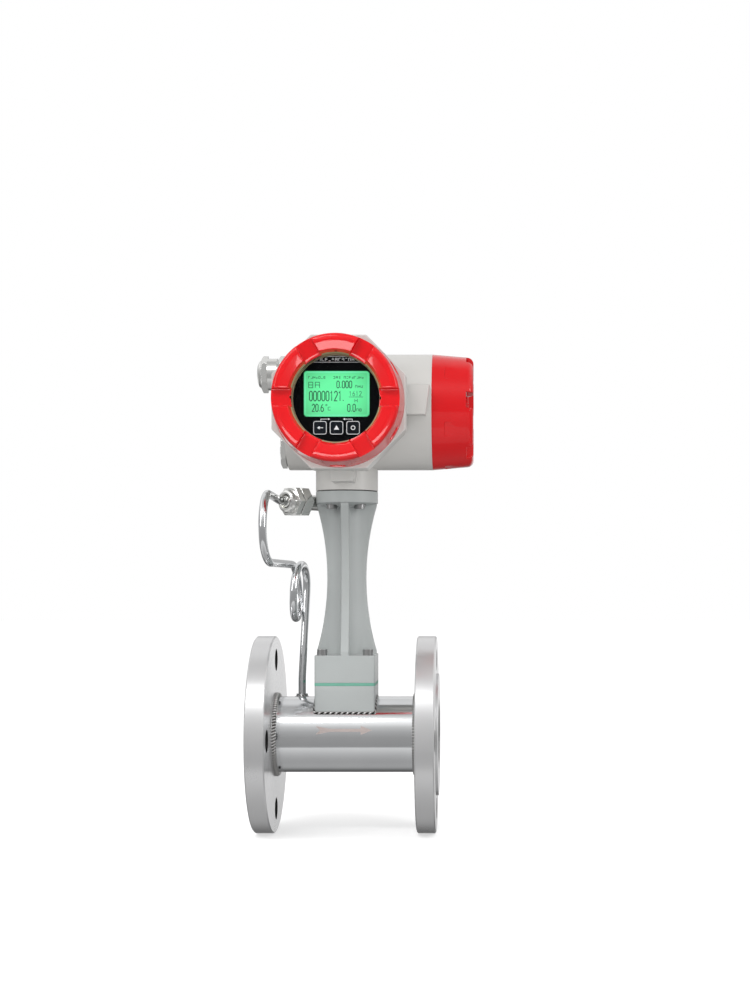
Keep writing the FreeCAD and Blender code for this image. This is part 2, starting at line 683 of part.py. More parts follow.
def cap_screw(at, seat, length, upside_down=False):
    """A socket head screw whose head rests on its seat."""
    corners = [
        ("0", "0 - (" + length + ")"),
        ("block_screw / 2", "0 - (" + length + ")"),
        ("block_screw / 2", "0"),
        ("screw_head / 2", "0"),
        ("screw_head / 2", "screw_head_high"),
        ("0", "screw_head_high"),
    ]
    body = turned("Screw", corners)
    pocket(body, hexagon(body, "hex_key", "screw_head_high"), "hex_key_deep")
    return put(body, (*at, seat), (0, 0, 180) if upside_down else (0, 0, 0))


def block_screws():
    screws = four(lambda at: cap_screw(at, "neck_base_top", "block_screw_long"), "screw_offset")
    finish_part(grouped(screws), "block_screws")


# Neck casting

def ribbed_column():
    """Four ribs in a cross with hollows between them, waisted by four large cylinders."""
    body = new_body("ColumnBody")
    near = "rib_thick / 2"
    far = "block_side / 2"
    corners = []
    for across, along in QUARTERS:
        inner = (f"{across} * {near}", f"{along} * {near}")
        on_x = (f"{across} * {far}", f"{along} * {near}")
        on_y = (f"{across} * {near}", f"{along} * {far}")
        corners += [on_x, inner, on_y] if across * along > 0 else [on_y, inner, on_x]
    pad(body, outline(body, "XY", corners, "neck_base_top - rib_thick"), "column_high + 2 * rib_thick")
    limit = number("rib_thick")

    def inner_edge(edge):
        box = edge.BoundBox
        return is_upright(edge) and abs(box.XMax) < limit and abs(box.YMax) < limit
    ease(body, "Fillet", "rib_round", inner_edge)
    reach = "(waist_half + flare_radius)"
    span = "2 * block_side"
    flares = []
    for side in (1, -1):
        flares.append(rod("2 * flare_radius", span, (f"{side} * {reach}", "block_side", "waist_z"), (0, 0, 90)))
        flares.append(rod("2 * flare_radius", span, ("0 - block_side", f"{side} * {reach}", "waist_z"), (0, 90, 0)))
    return put(cut(body, *flares), ("neck_x", "0", "0"))


def fitting_turn(along=1):
    """Yaw, pitch and roll that lay +Z along the fitting's axis, or -Z when along is -1."""
    return ("0 - fitting_turn", 0, 90 * along)


def on_fitting(back):
    """The point on the fitting's axis that lies this far behind its nose."""
    return (
        f"neck_x - fitting_left + ({back}) * sin(fitting_turn)",
        f"({back}) * cos(fitting_turn) - fitting_front",
        "fitting_rise",
    )


def neck():
    base = square_prism("NeckPrism", "neck_base_high", "gasket_top")
    rim = "top_flange_od / 2"
    top = turned("TopFlange", [
        ("0", "flange_seat_z - top_flange_slope"),
        ("rib_thick", "flange_seat_z - top_flange_slope"),
        (rim, "flange_seat_z"),
        (rim, "neck_top"),
        ("0", "neck_top"),
    ])
    put(top, ("neck_x", "0", "0"))
    port = rod("port_od", "port_long", on_fitting("port_start"), fitting_turn(-1))
    solid = fuse(base, ribbed_column(), top, port)
    relief = rod("fitting_thread + 2 * port_relief", "port_start", on_fitting("0"), fitting_turn(-1))
    tapped = "fitting_thread + 2 * thread_play"
    thread = rod(tapped, "port_long - port_floor", on_fitting("port_start"), fitting_turn(-1))
    wires = rod("neck_wire_bore", "neck_top", ("neck_x", "0", "0"))
    slot = block("thermo_offset + thermo_od / 2", "thermo_od", "thermo_od",
                 ("neck_x + thermo_offset / 2 + thermo_od / 4", "0", "gasket_top"))
    seats = four(lambda at: rod("spotface", "2 * top_flange_slope", (*at, "flange_seat_z - 2 * top_flange_slope")),
                 "head_screw_offset")
    holes = four(lambda at: rod("block_screw + 2 * screw_play", "2 * top_flange_thick", (*at, "flange_seat_z")),
                 "head_screw_offset")
    lower = clearance_holes("gasket_top", "neck_base_high")
    finish_part(cut(solid, relief, thread, wires, slot, *seats, *holes, *lower), "neck")


def head_screws():
    def screw(at):
        return cap_screw(at, "flange_seat_z", "head_screw_long", upside_down=True)
    finish_part(grouped(four(screw, "head_screw_offset")), "head_screws")


def seam_seal():
    disc = rod("seam_seal_od", "seam_seal_thick", ("neck_x", "0", "neck_top"))
    passage = rod("head_wire_bore", "seam_seal_thick", ("neck_x", "0", "neck_top"))
    holes = four(lambda at: rod("block_screw + 2 * screw_play", "seam_seal_thick", (*at, "neck_top")),
                 "head_screw_offset")
    finish_part(cut(disc, passage, *holes), "seam_seal")


# Head housing

def octagon_boss():
    """The octagonal front of the display chamber, with its front edges rounded."""
    body = new_body("OctagonBody")
    corner = "octagon_flats / 2 / cos(22.5)"
    corners = [(f"{corner} * cos({angle} / 2)", f"{corner} * sin({angle} / 2)") for angle in range(45, 720, 90)]
    pad(body, outline(body, "XY", corners, "0 - octagon_deep"), "octagon_deep")
    ease(body, "Fillet", "octagon_edge", lambda edge: is_upright(edge))
    ease(body, "Fillet", "octagon_edge / 2", lambda edge: abs(edge.BoundBox.ZMin) < 1e-4)
    return put(body, ("neck_x", "0 - chamber_front", "barrel_z"), LIES_ALONG["-Y"])


def lower_lug():
    """A lug under the chamber, narrower at its foot."""
    body = new_body("LowerLugBody")
    half = "lower_lug_wide / 2"
    slant = "lower_lug_wide / 20"
    foot = "0 - lower_lug_reach"
    corners = [
        (half, "0"),
        (f"0 - {half}", "0"),
        (f"0 - {half}", f"{foot} + 5 * ({slant})"),
        (f"{slant} - {half}", foot),
        (f"{half} - {slant}", foot),
        (half, f"{foot} + 5 * ({slant})"),
    ]
    pad(body, outline(body, "XZ", corners, "0"), "lower_lug_front")
    return put(body, ("neck_x", "0", "barrel_z"))


def side_lug():
    """A lug on the barrel's front, with a slanted outer end."""
    body = new_body("SideLugBody")
    end = "barrel_right - side_lug_gap"
    low = "side_lug_rise - side_lug_high / 2"
    high = "side_lug_rise + side_lug_high / 2"
    slant = "side_lug_high / 8"
    pad(body, outline(body, "XZ", [("0", low), (f"{end} - {slant}", low), (end, high), ("0", high)]), "side_lug_front")
    return put(body, ("neck_x", "0", "barrel_z"))


def housing():
    across = LIES_ALONG["+X"]
    forward = LIES_ALONG["-Y"]
    left = "neck_x - barrel_left"
    centre = ("neck_x", "0", "barrel_z")
    collar = rod("top_flange_od", "barrel_rise", ("neck_x", "0", "head_foot"))
    barrel = rod("barrel_od", "barrel_left + barrel_right", (left, "0", "barrel_z"), across)
    chamber = rod("chamber_od", "chamber_front - octagon_edge", centre, forward)
    solid = fuse(barrel, chamber, collar, octagon_boss(), lower_lug(), side_lug())
    inside = f"{left} + end_wall"
    spaces = [
        rod("barrel_inner", "barrel_left + barrel_right - end_wall", (inside, "0", "barrel_z"), across),
        rod("barrel_bore", "barrel_right - terminal_seat", ("neck_x + terminal_seat", "0", "barrel_z"), across),
        rod("chamber_bore", "chamber_deep", ("neck_x", "chamber_deep - chamber_front", "barrel_z"), forward),
        rod("feed_hole", "chamber_front", centre, forward),
        rod("head_wire_bore", "barrel_rise", ("neck_x", "0", "head_foot")),
    ]
    for side in ("+", "-"):
        height = f"barrel_z {side} entry_offset"
        spaces.append(rod("entry_thread", "end_wall", (left, "0", height), across))
    screws = four(lambda at: rod("block_screw + 2 * thread_play", "head_screw_long", (*at, "head_foot")),
                  "head_screw_offset")
    finish_part(cut(solid, *spaces, *screws), "housing")


# Covers, their glass and their rings

def grip_cuts(body, base_od, front_od, high, inner, start_z, deep):
    """Six notches across the front edge, and six flats sunk in the tapered flank between them."""
    reach = f"({base_od})"
    half = "notch_wide / 2"
    notch = outline(body, "XY", [
        (inner, f"0 - {half}"),
        (reach, f"0 - {half}"),
        (reach, half),
        (inner, half),
    ], high)
    spread(body, pocket(body, notch, "notch_deep"), 6)
    floor = f"({base_od} / 2 - ({base_od} - {front_od}) / 2 * {start_z} / {high} - {deep})"
    half = "(pocket_wide / 2)"
    corners = []
    for across, along in ((floor, "0 - " + half), (reach, "0 - " + half), (reach, half), (floor, half)):
        corners.append((f"({across}) * cos(30) - ({along}) * sin(30)",
                        f"({across}) * sin(30) + ({along}) * cos(30)"))
    flat = outline(body, "XY", corners, start_z)
    spread(body, pocket(body, flat, f"{high} - {start_z}", upwards=True), 6)


def ring_groove_corners(spigot):
    """The groove of a sealing ring just behind a cover's shoulder."""
    floor = f"{spigot} - ring_wire"
    return [
        (spigot, "0 - ring_groove / 4"),
        (floor, "0 - ring_groove / 4"),
        (floor, "0 - ring_groove * 5 / 4"),
        (spigot, "0 - ring_groove * 5 / 4"),
    ]


def display_cover():
    spigot = "chamber_bore / 2 - cover_play"
    body = turned("DisplayCover", [
        ("window_back / 2", "display_cover_high - window_lip"),
        ("window_front / 2", "display_cover_high"),
        ("display_cover_front / 2", "display_cover_high"),
        ("display_cover_od / 2", "0"),
        (spigot, "0"),
        *ring_groove_corners(spigot),
        (spigot, "0 - spigot_long"),
        ("display_cover_bore / 2", "0 - spigot_long"),
        ("display_cover_bore / 2", "display_cover_high - window_lip"),
    ])
    ease(body, "Fillet", "cover_round", is_ring("display_cover_front / 2", "display_cover_high"))
    ease(body, "Fillet", "cover_inner_round", is_ring("window_front / 2", "display_cover_high"))
    grip_cuts(body, "display_cover_od", "display_cover_front", "display_cover_high", "window_back / 4",
              "pocket_start", "pocket_deep")
    finish_part(body, "display_cover", ("neck_x", "0 - chamber_front", "barrel_z"), LIES_ALONG["-Y"])


def side_cover():
    spigot = "barrel_bore / 2 - cover_play"
    ring = "side_cover_front / 2 - cover_ring_wide"
    body = turned("SideCover", [
        ("0", "side_cover_high - side_cover_wall"),
        ("0", "side_cover_high - cover_dish + cover_disc_high"),
        ("cover_disc_od / 2 - cover_disc_high", "side_cover_high - cover_dish + cover_disc_high"),
        ("cover_disc_od / 2", "side_cover_high - cover_dish"),
        (f"{ring} - cover_dish", "side_cover_high - cover_dish"),
        (ring, "side_cover_high"),
        ("side_cover_front / 2", "side_cover_high"),
        ("barrel_od / 2", "0"),
        (spigot, "0"),
        *ring_groove_corners(spigot),
        (spigot, "0 - spigot_long"),
        ("side_cover_bore / 2", "0 - spigot_long"),
        ("side_cover_bore / 2", "side_cover_high - side_cover_wall"),
    ])
    ease(body, "Fillet", "cover_round", is_ring("side_cover_front / 2", "side_cover_high"))
    grip_cuts(body, "barrel_od", "side_cover_front", "side_cover_high", f"{ring} - cover_dish",
              "side_pocket_start", "side_pocket_deep")
    finish_part(body, "side_cover", ("neck_x + barrel_right", "0", "barrel_z"), (90, "90 - side_cover_turn", 90))


def sealing_ring(label, bore, at, turn):
    """A round rubber ring that lies in a cover's groove."""
    middle = f"({bore}) / 2 - cover_play - ring_wire / 2 + ring_play / 2"
    wire = primitive("Torus", Radius1=middle, Radius2="ring_wire / 2 - ring_play / 2")
    finish_part(wire, label, at, turn)


def cover_rings():
    middle = "ring_groove * 3 / 4"
    sealing_ring("display_cover_ring", "chamber_bore", ("neck_x", f"{middle} - chamber_front", "barrel_z"),
                 LIES_ALONG["-Y"])
    sealing_ring("side_cover_ring", "barrel_bore", (f"neck_x + barrel_right - {middle}", "0", "barrel_z"),
                 LIES_ALONG["+X"])


def in_front(height):
    """A point on the display's axis, this far in front of the chamber's face."""
    return ("neck_x", f"0 - chamber_front - ({height})", "barrel_z")


def window_glass():
    disc = rod("display_cover_bore - 2 * glass_play", "glass_thick", in_front("glass_z"), LIES_ALONG["-Y"])
    finish_part(disc, "window_glass")


def glass_retainer():
    body = turned("Retainer", [
        ("retainer_bore / 2", "0"),
        ("display_cover_bore / 2 - thread_play", "0"),
        ("display_cover_bore / 2 - thread_play", "retainer_thick"),
        ("retainer_bore / 2", "retainer_thick"),
    ])
    finish_part(body, "glass_retainer", in_front("retainer_z"), LIES_ALONG["-Y"])


# Display stack, built along its own +Z axis and then laid towards the reader

def posts(foot, height):
    return four(lambda at: rod("post_od", height, (*at, foot)), "post_offset", "0")


def lay_forward(thing, label):
    return finish_part(thing, label, in_front("0"), LIES_ALONG["-Y"])


def face_plate():
    disc = rod("plate_od", "plate_thick", ("0", "0", "plate_back"))
    stack = fuse(disc, *posts("display_board_front", "display_board_gap"))
    openings = [block("lcd_wide + 2 * lcd_play", "lcd_high + 2 * lcd_play", "plate_thick",
                      ("0", "lcd_rise", "plate_back"))]
    for place in (-1, 0, 1):
        openings.append(block("key_side + 2 * key_play", "key_side + 2 * key_play", "plate_thick",
                              (f"{place} * key_pitch", "0 - key_drop", "plate_back")))
    lay_forward(cut(stack, *openings), "face_plate")


def lcd_panel():
    panel = block("lcd_wide", "lcd_high", "plate_front - lcd_recess - display_board_front",
                  ("0", "lcd_rise", "display_board_front"))
    lay_forward(panel, "lcd_panel")


def key(label, place):
    across = f"{place} * key_pitch"
    cap = block("key_side", "key_side", "plate_front + key_proud - key_back", (across, "0 - key_drop", "key_back"))
    skirt = block("key_flange", "key_flange", "key_flange_thick", (across, "0 - key_drop", "key_back"))
    lay_forward(fuse(cap, skirt), label)


def key_switches():
    switches = [block("switch_side", "switch_side", "switch_top - display_board_front",
                      (f"{place} * key_pitch", "0 - key_drop", "display_board_front")) for place in (-1, 0, 1)]
    lay_forward(grouped(switches), "key_switches")


def display_board():
    disc = rod("display_board_od", "board_thick", ("0", "0", "display_board_back"))
    lay_forward(disc, "display_board")


def main_board():
    disc = rod("main_board_od", "board_thick", ("0", "0", "main_board_back"))
    chips = [
        block("chip_side", "chip_side", "chip_thick",
              ("0 - main_board_od / 8", "main_board_od / 14", "main_board_front")),
        block("supply_wide", "supply_high", "tall_parts",
              ("main_board_od / 5", "0 - main_board_od / 14", "main_board_front")),
        block("relay_wide", "relay_high", "tall_parts",
              ("0 - main_board_od / 7", "0 - main_board_od / 5", "main_board_front")),
    ]
    lay_forward(fuse(disc, *chips), "main_board")


def board_posts():
    lay_forward(grouped(posts("0 - chamber_deep", "main_board_rise")), "lower_posts")
    lay_forward(grouped(posts("main_board_front", "display_board_back - main_board_front")), "upper_posts")


# Terminal compartment

def terminal_plate():
    disc = rod("barrel_bore - 2 * cover_play", "terminal_plate_thick", ("neck_x + terminal_seat", "0", "barrel_z"),
               LIES_ALONG["+X"])
    below = "barrel_z - entry_offset / 2 - feed_hole / 2"
    hole = rod("feed_hole", "terminal_plate_thick", ("neck_x + terminal_seat", "0", below), LIES_ALONG["+X"])
    finish_part(cut(disc, hole), "terminal_plate")


def terminal_places():
    pitch = "(terminal_wide / terminal_count)"
    count = round(number("terminal_count"))
    return [f"({index} + 0.5) * {pitch} - terminal_wide / 2" for index in range(count)]


def terminal_block():
    """A moulded strip with one open cell for each terminal."""
    foot = "barrel_z - terminal_high / 2"
    body = primitive("Box", ("neck_x + terminal_face", "0 - terminal_wide / 2", foot),
                     Length="terminal_deep", Width="terminal_wide", Height="terminal_high")
    cell = "terminal_wide / terminal_count - terminal_wall"
    cells_cut = []
    for place in terminal_places():
        corner = ("neck_x + terminal_face + terminal_deep / 2", f"{place} - ({cell}) / 2", foot)
        cells_cut.append(primitive("Box", corner, Length="terminal_deep", Width=cell,
                                   Height="terminal_high * 3 / 4"))
    finish_part(cut(body, *cells_cut), "terminal_block")


def terminal_screws():
    screws = [rod("terminal_screw", "terminal_deep / 4",
                  ("neck_x + terminal_face + terminal_deep / 2", place, "barrel_z - terminal_wall"),
                  LIES_ALONG["+X"]) for place in terminal_places()]
    finish_part(grouped(screws), "terminal_screws")


# Cable gland and blanking plug, each along its own +Z axis from the barrel's left wall

def at_entry(side):
    return ("neck_x - barrel_left", "0", f"barrel_z {side} entry_offset")


def hex_prism(name, flats, foot, height):
    """A hexagon with its outer corners turned off."""
    body = new_body(name)
    pad(body, hexagon(body, flats, foot), height)
    limit = turned(name + "Limit", [
        ("0", foot),
        (f"({flats}) / 2 / cos(30)", foot),
        (f"({flats}) / 2 / cos(30)", f"{foot} + {height} - hex_chamfer"),
        (f"({flats}) / 2 / cos(30) - 2 * hex_chamfer", f"{foot} + {height}"),
        ("0", f"{foot} + {height}"),
    ])
    return common(body, limit)


def entry_ring(label, side, thick):
    body = turned("EntryRing", [
        ("entry_thread / 2 + thread_play", "0"),
        ("gland_ring_od / 2", "0"),
        ("gland_ring_od / 2", thick),
        ("entry_thread / 2 + thread_play", thick),
    ])
    finish_part(body, label, at_entry(side), LIES_ALONG["-X"])


def gland_body():
    shank = rod("entry_thread - 2 * thread_play", "end_wall + gland_ring_thick", ("0", "0", "0 - end_wall"))
    hexagon_part = hex_prism("GlandHex", "gland_hex", "gland_ring_thick", "gland_hex_high")
    throat = rod("gland_neck_od", "gland_nut_skirt + gland_neck_show", ("0", "0", "gland_body_top"))
    solid = fuse(shank, hexagon_part, throat)
    bore = rod("gland_mouth", "2 * gland_top", ("0", "0", "0 - end_wall"))
    bush_foot = "gland_hex_foot - gland_bush_long * 2 / 3"
    pocket_bore = rod("gland_bush_od + 2 * thread_play", "gland_top", ("0", "0", bush_foot))
    finish_part(cut(solid, bore, pocket_bore), "gland_body", at_entry("+"), LIES_ALONG["-X"])


def gland_nut():
    skirt = rod("gland_nut_od", "gland_nut_skirt", ("0", "0", "gland_nut_foot"))
    hexagon_part = hex_prism("GlandNutHex", "gland_hex", "gland_hex_foot", "gland_nut_hex_high")
    dome = turned("GlandDome", [
        ("0", "gland_dome_foot"),
        ("gland_nut_od / 2 - hex_chamfer", "gland_dome_foot"),
        ("(gland_nut_od + gland_dome_od) / 4", "gland_dome_foot + gland_dome_high * 2 / 3"),
        ("gland_dome_od / 2", "gland_top"),
        ("0", "gland_top"),
    ])
    solid = fuse(skirt, hexagon_part, dome)
    thread = rod("gland_neck_od + 2 * thread_play", "gland_nut_skirt", ("0", "0", "gland_nut_foot"))
    chamber = rod("gland_bush_od + 2 * thread_play", "gland_bush_long / 3", ("0", "0", "gland_hex_foot"))
    mouth = rod("gland_mouth", "gland_top", ("0", "0", "gland_hex_foot"))
    finish_part(cut(solid, thread, chamber, mouth), "gland_nut", at_entry("+"), LIES_ALONG["-X"])


def gland_bush():
    foot = "gland_hex_foot - gland_bush_long * 2 / 3"
    body = turned("BushBody", [
        ("gland_bush_bore / 2", foot),
        ("gland_bush_od / 2", foot),
        ("gland_bush_od / 2", f"{foot} + gland_bush_long"),
        ("gland_bush_bore / 2", f"{foot} + gland_bush_long"),
    ])
    finish_part(body, "gland_bush", at_entry("+"), LIES_ALONG["-X"])


def blanking_plug():
    shank = rod("entry_thread - 2 * thread_play", "end_wall + plug_ring_thick", ("0", "0", "0 - end_wall"))
    head = hex_prism("PlugHex", "plug_hex", "plug_ring_thick", "plug_head_high")
    finish_part(fuse(shank, head), "blanking_plug", at_entry("-"), LIES_ALONG["-X"])


# Siphon tube and pressure fitting

def siphon_socket():
    foot = ("neck_x - siphon_lead", "siphon_back", "0")
    outer = rod("socket_od", "socket_rise", foot)
    tube = rod("pipe_od", "face_to_face", ("inlet_x", "0", "0"), LIES_ALONG["+X"])
    seat = rod("siphon_od + 2 * thread_play", "socket_rise", (foot[0], foot[1], "siphon_foot"))
    passage = rod("siphon_bore", "socket_rise", foot)
    finish_part(cut(outer, tube, seat, passage), "siphon_socket")


def siphon_route():
    """The corners of the tube's path with the radius at each, from the tapping to the fitting."""
    neck_x = number("neck_x")
    wide = number("coil_radius")
    coil = 1.005 * wide
    top = number("coil_rise") + coil
    low = number("coil_rise") - coil
    foot_x = neck_x - number("siphon_lead")
    foot_y = number("siphon_back")
    socket = number("socket_rise")
    front = -number("bend_front")
    bend_x = neck_x - number("bend_left")
    bend_low = top + number("bend_foot")
    bend_high = number("fitting_rise") + number("bend_over")
    bend = (bend_high - bend_low) / 2 - number("bend_straight")
    turn = math.radians(number("fitting_turn"))
    nose = [number(words) for words in on_fitting("0")]
    ahead = number("nose_lead")
    inside = number("tube_reach")
    hook = (bend_x + number("hook_side"), nose[1] - number("hook_lead"), nose[2] + number("hook_over"))
    before = (nose[0] - ahead * math.sin(turn), nose[1] - ahead * math.cos(turn), nose[2])
    end = (nose[0] + inside * math.sin(turn), nose[1] + inside * math.cos(turn), nose[2])
    return [
        ((foot_x, foot_y, number("siphon_foot")), 0),
        ((foot_x, foot_y, socket + number("lead_straight")), number("lead_radius")),
        ((neck_x - number("coil_entry"), coil, top), number("entry_radius")),
        ((neck_x - number("coil_top"), -coil, top), wide),
        ((neck_x - number("coil_front"), -coil, low), wide),
        ((neck_x - number("coil_back"), coil, low), wide),
        ((neck_x - number("coil_exit"), coil, top), wide),
        ((bend_x, front, bend_low), bend),
        ((bend_x, front, bend_high), bend),
        (hook, number("hook_radius")),
        (before, number("nose_radius")),
        (end, 0),
    ]


def path_edges(route):
    """Straight runs joined by tangent arcs, one arc at each inner corner."""
    points = [FreeCAD.Vector(*place) for place, radius in route]
    edges = []
    start = points[0]
    for index in range(1, len(points) - 1):
        corner = points[index]
        back = (points[index - 1] - corner).normalize()
        ahead = (points[index + 1] - corner).normalize()
        half = back.getAngle(ahead) / 2
        radius = route[index][1]
        reach = radius / math.tan(half)
        first = corner + back * reach
        last = corner + ahead * reach
        middle = corner + (back + ahead).normalize() * (radius / math.sin(half) - radius)
        if (first - start).Length > 1e-3:
            edges.append(Part.LineSegment(start, first).toShape())
        edges.append(Part.Arc(first, middle, last).toShape())
        start = last
    edges.append(Part.LineSegment(start, points[-1]).toShape())
    return edges


def siphon_tube():
    edges = path_edges(siphon_route())
    spine = Part.Wire(edges)
    direction = edges[0].tangentAt(edges[0].FirstParameter)
    start = edges[0].Vertexes[0].Point

    def swept(diameter):
        circle = Part.Wire(Part.Circle(start, direction, diameter / 2).toShape())
        return spine.makePipeShell([circle], True, False)
    outer = swept(number("siphon_od"))
    inner = swept(number("siphon_bore"))
    tube = outer.cut(inner)
    section = math.pi / 4 * (number("siphon_od") ** 2 - number("siphon_bore") ** 2)
    print("siphon length", round(spine.Length, 1), "volume ratio", round(tube.Volume / (section * spine.Length), 4))
    piece = doc.addObject("Part::Feature", "SiphonTube")
    piece.Shape = tube
    finish_part(piece, "siphon_tube")


def on_axis(thing, label):
    return finish_part(thing, label, on_fitting("0"), fitting_turn())


def union_nut():
    """The nut's nose and hexagon, built backwards from the nose along -Z."""
    nose = turned("Nose", [
        ("0", "0 - nose_high"),
        ("nose_od / 2", "0 - nose_high"),
        ("nose_od / 2", "0 - nose_high / 2"),
        ("nose_od / 2 - 1", "0 - nose_high / 6"),
        ("nose_od / 2 - 2.4", "0"),
        ("0", "0"),
    ])
    hexagon_part = hex_prism("UnionNutHex", "fitting_hex", "0 - nose_high - nut_hex_high", "nut_hex_high")
    solid = fuse(nose, hexagon_part)
    recess = turned("Recess", [
        ("0", "0 - nose_recess_deep"),
        ("ferrule_od / 2 + thread_play", "0 - nose_recess_deep"),
        ("nose_recess_od / 2 + 1", "1"),
        ("0", "1"),
    ])
    passage = rod("ferrule_od + 2 * thread_play", "nose_high", ("0", "0", "0 - nose_high"))
    thread = rod("union_neck_od + 2 * thread_play", "nut_hex_high", ("0", "0", "0 - nose_high - nut_hex_high"))
    on_axis(cut(solid, recess, passage, thread), "union_nut")


def union_body():
    hexagon_part = hex_prism("UnionHex", "fitting_hex", "0 - union_body_foot", "union_body_high")
    throat = rod("union_neck_od", "union_neck_long", ("0", "0", "0 - union_body_top"))
    nipple = rod("fitting_thread", "union_thread_long", ("0", "0", "0 - union_body_foot - union_thread_long"))
    solid = fuse(hexagon_part, throat, nipple)
    seat = rod("siphon_od + 2 * bore_play", "tube_reach", ("0", "0", "0 - tube_reach - thread_play"))
    back = "union_body_foot + union_thread_long"
    bore = rod("siphon_bore", back, ("0", "0", f"0 - ({back})"))
    on_axis(cut(solid, seat, bore), "union_body")


def ferrule():
    body = turned("FerruleBody", [
        ("siphon_od / 2 + bore_play", "0 - ferrule_long"),
        ("ferrule_od / 2", "0 - ferrule_long"),
        ("ferrule_od / 2", "0 - 1"),
        ("siphon_od / 2 + 3 * bore_play", "0.2"),
        ("siphon_od / 2 + bore_play", "0.2"),
    ])
    on_axis(body, "ferrule")


def pressure_cell():
    back = "port_start + port_long - port_floor"
    disc = rod("fitting_thread - 2 * thread_play", "cell_thick", ("0", "0", f"0 - ({back})"))
    on_axis(disc, "pressure_cell")


# Whole model

def build():
    fill_sheets()
    flow_tube()
    flange("inlet_flange", ("inlet_x", "0", "0"), LIES_ALONG["+X"])
    flange("outlet_flange", ("outlet_x", "0", "0"), LIES_ALONG["-X"])
    shedder_bar()
    vortex_probe()
    probe_seal()
    temperature_probe()
    base_block()
    block_gasket()
    block_screws()
    neck()
    head_screws()
    seam_seal()
    housing()
    display_cover()
    window_glass()
    glass_retainer()
    side_cover()
    cover_rings()
    face_plate()
    lcd_panel()
    for label, place in (("key_left", -1), ("key_middle", 0), ("key_right", 1)):
        key(label, place)
    key_switches()
    display_board()
    main_board()
    board_posts()
    terminal_plate()
    terminal_block()
    terminal_screws()
    entry_ring("gland_ring", "+", "gland_ring_thick")
    gland_body()
    gland_nut()
    gland_bush()
    entry_ring("plug_ring", "-", "plug_ring_thick")
    blanking_plug()
    siphon_socket()
    siphon_tube()
    union_nut()
    union_body()
    ferrule()
    pressure_cell()
    doc.recompute()


def write_parts():
    for thing in doc.Objects:
        if "Invalid" in thing.State or "Error" in thing.State:
            raise RuntimeError(f"{thing.Label} failed: {thing.State}")
    for piece in parts:
        if piece.Shape.isNull() or not piece.Shape.isValid():
            raise RuntimeError(f"{piece.Label} has no valid shape")
    os.makedirs("parts", exist_ok=True)
    for piece in parts:
        piece.Shape.exportStep(f"parts/{piece.Label}.step")
    print(len(parts), "parts written")


build()
write_parts()
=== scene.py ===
import cmath
import json
import math
from functools import cache

import bmesh
import bpy
from bpy.props import FloatProperty, FloatVectorProperty, PointerProperty
from mathutils import Matrix, Vector


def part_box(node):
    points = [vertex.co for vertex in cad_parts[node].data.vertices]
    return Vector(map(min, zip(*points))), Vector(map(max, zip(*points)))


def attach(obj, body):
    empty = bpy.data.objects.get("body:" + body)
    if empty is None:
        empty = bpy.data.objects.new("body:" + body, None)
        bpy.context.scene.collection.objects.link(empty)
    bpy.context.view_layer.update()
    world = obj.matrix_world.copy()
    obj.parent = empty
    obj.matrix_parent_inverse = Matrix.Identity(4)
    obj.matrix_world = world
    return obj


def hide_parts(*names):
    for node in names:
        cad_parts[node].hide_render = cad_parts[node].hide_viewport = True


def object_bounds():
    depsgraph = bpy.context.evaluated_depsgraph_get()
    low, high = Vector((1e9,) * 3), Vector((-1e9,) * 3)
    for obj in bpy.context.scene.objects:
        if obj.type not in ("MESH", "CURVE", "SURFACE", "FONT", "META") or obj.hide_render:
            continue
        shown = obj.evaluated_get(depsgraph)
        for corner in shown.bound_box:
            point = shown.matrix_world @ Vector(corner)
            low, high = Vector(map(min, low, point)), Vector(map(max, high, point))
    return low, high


bl_info = {
    "name": "Vortex flow meter",
    "version": (1, 0, 0),
    "blender": (4, 5, 0),
    "location": "View3D > Sidebar > Flow meter",
    "description": "Dresses the packed flow meter with finished pieces, light and a camera",
    "category": "Object",
}

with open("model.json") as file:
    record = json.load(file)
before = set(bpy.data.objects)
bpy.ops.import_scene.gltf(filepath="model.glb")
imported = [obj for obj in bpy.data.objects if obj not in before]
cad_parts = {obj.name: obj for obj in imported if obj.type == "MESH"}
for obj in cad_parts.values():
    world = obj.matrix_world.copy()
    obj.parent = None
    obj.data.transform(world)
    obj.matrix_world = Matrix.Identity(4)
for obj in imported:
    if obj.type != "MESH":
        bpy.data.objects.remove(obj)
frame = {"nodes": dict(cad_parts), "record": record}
CAD_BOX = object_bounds()
MM = 0.001


# Places read from the frame

def low(node):
    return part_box(node)[0]


def high(node):
    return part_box(node)[1]


def middle(node):
    return (low(node) + high(node)) / 2


def half_width(node):
    return (high(node).x - low(node).x) / 2


def facing(direction, across):
    """A turn whose own Z runs along one direction and whose own X runs along the other."""
    z = Vector(direction).normalized()
    x = Vector(across).normalized()
    return Matrix((x, z.cross(x), z)).transposed().to_4x4()


# How far both screw covers reach into the head
SPIGOT = 12 * MM
# The covers' grips repeat six times
SIXTH = math.tau / 6

# The neck's axis where it meets the tube's
NECK = Vector((middle("block_gasket").x, 0, 0))
HEAD_Z = middle("window_glass").z
CHAMBER_FACE = high("display_cover").y - SPIGOT
BARREL_END = high("housing").x
DISPLAY = Matrix.Translation((NECK.x, CHAMBER_FACE, HEAD_Z)) @ facing((0, -1, 0), (1, 0, 0))
SIDE = Matrix.Translation((BARREL_END, 0, HEAD_Z)) @ facing((1, 0, 0), (0, -1, 0))


# Sizes and colours that a user would change

def length(name, description, default):
    return FloatProperty(name=name, description=description, default=default * MM, unit="LENGTH",
                         subtype="DISTANCE")


def colour(name, description, default):
    return FloatVectorProperty(name=name, description=description, default=default, size=3, min=0, max=1,
                               subtype="COLOR")


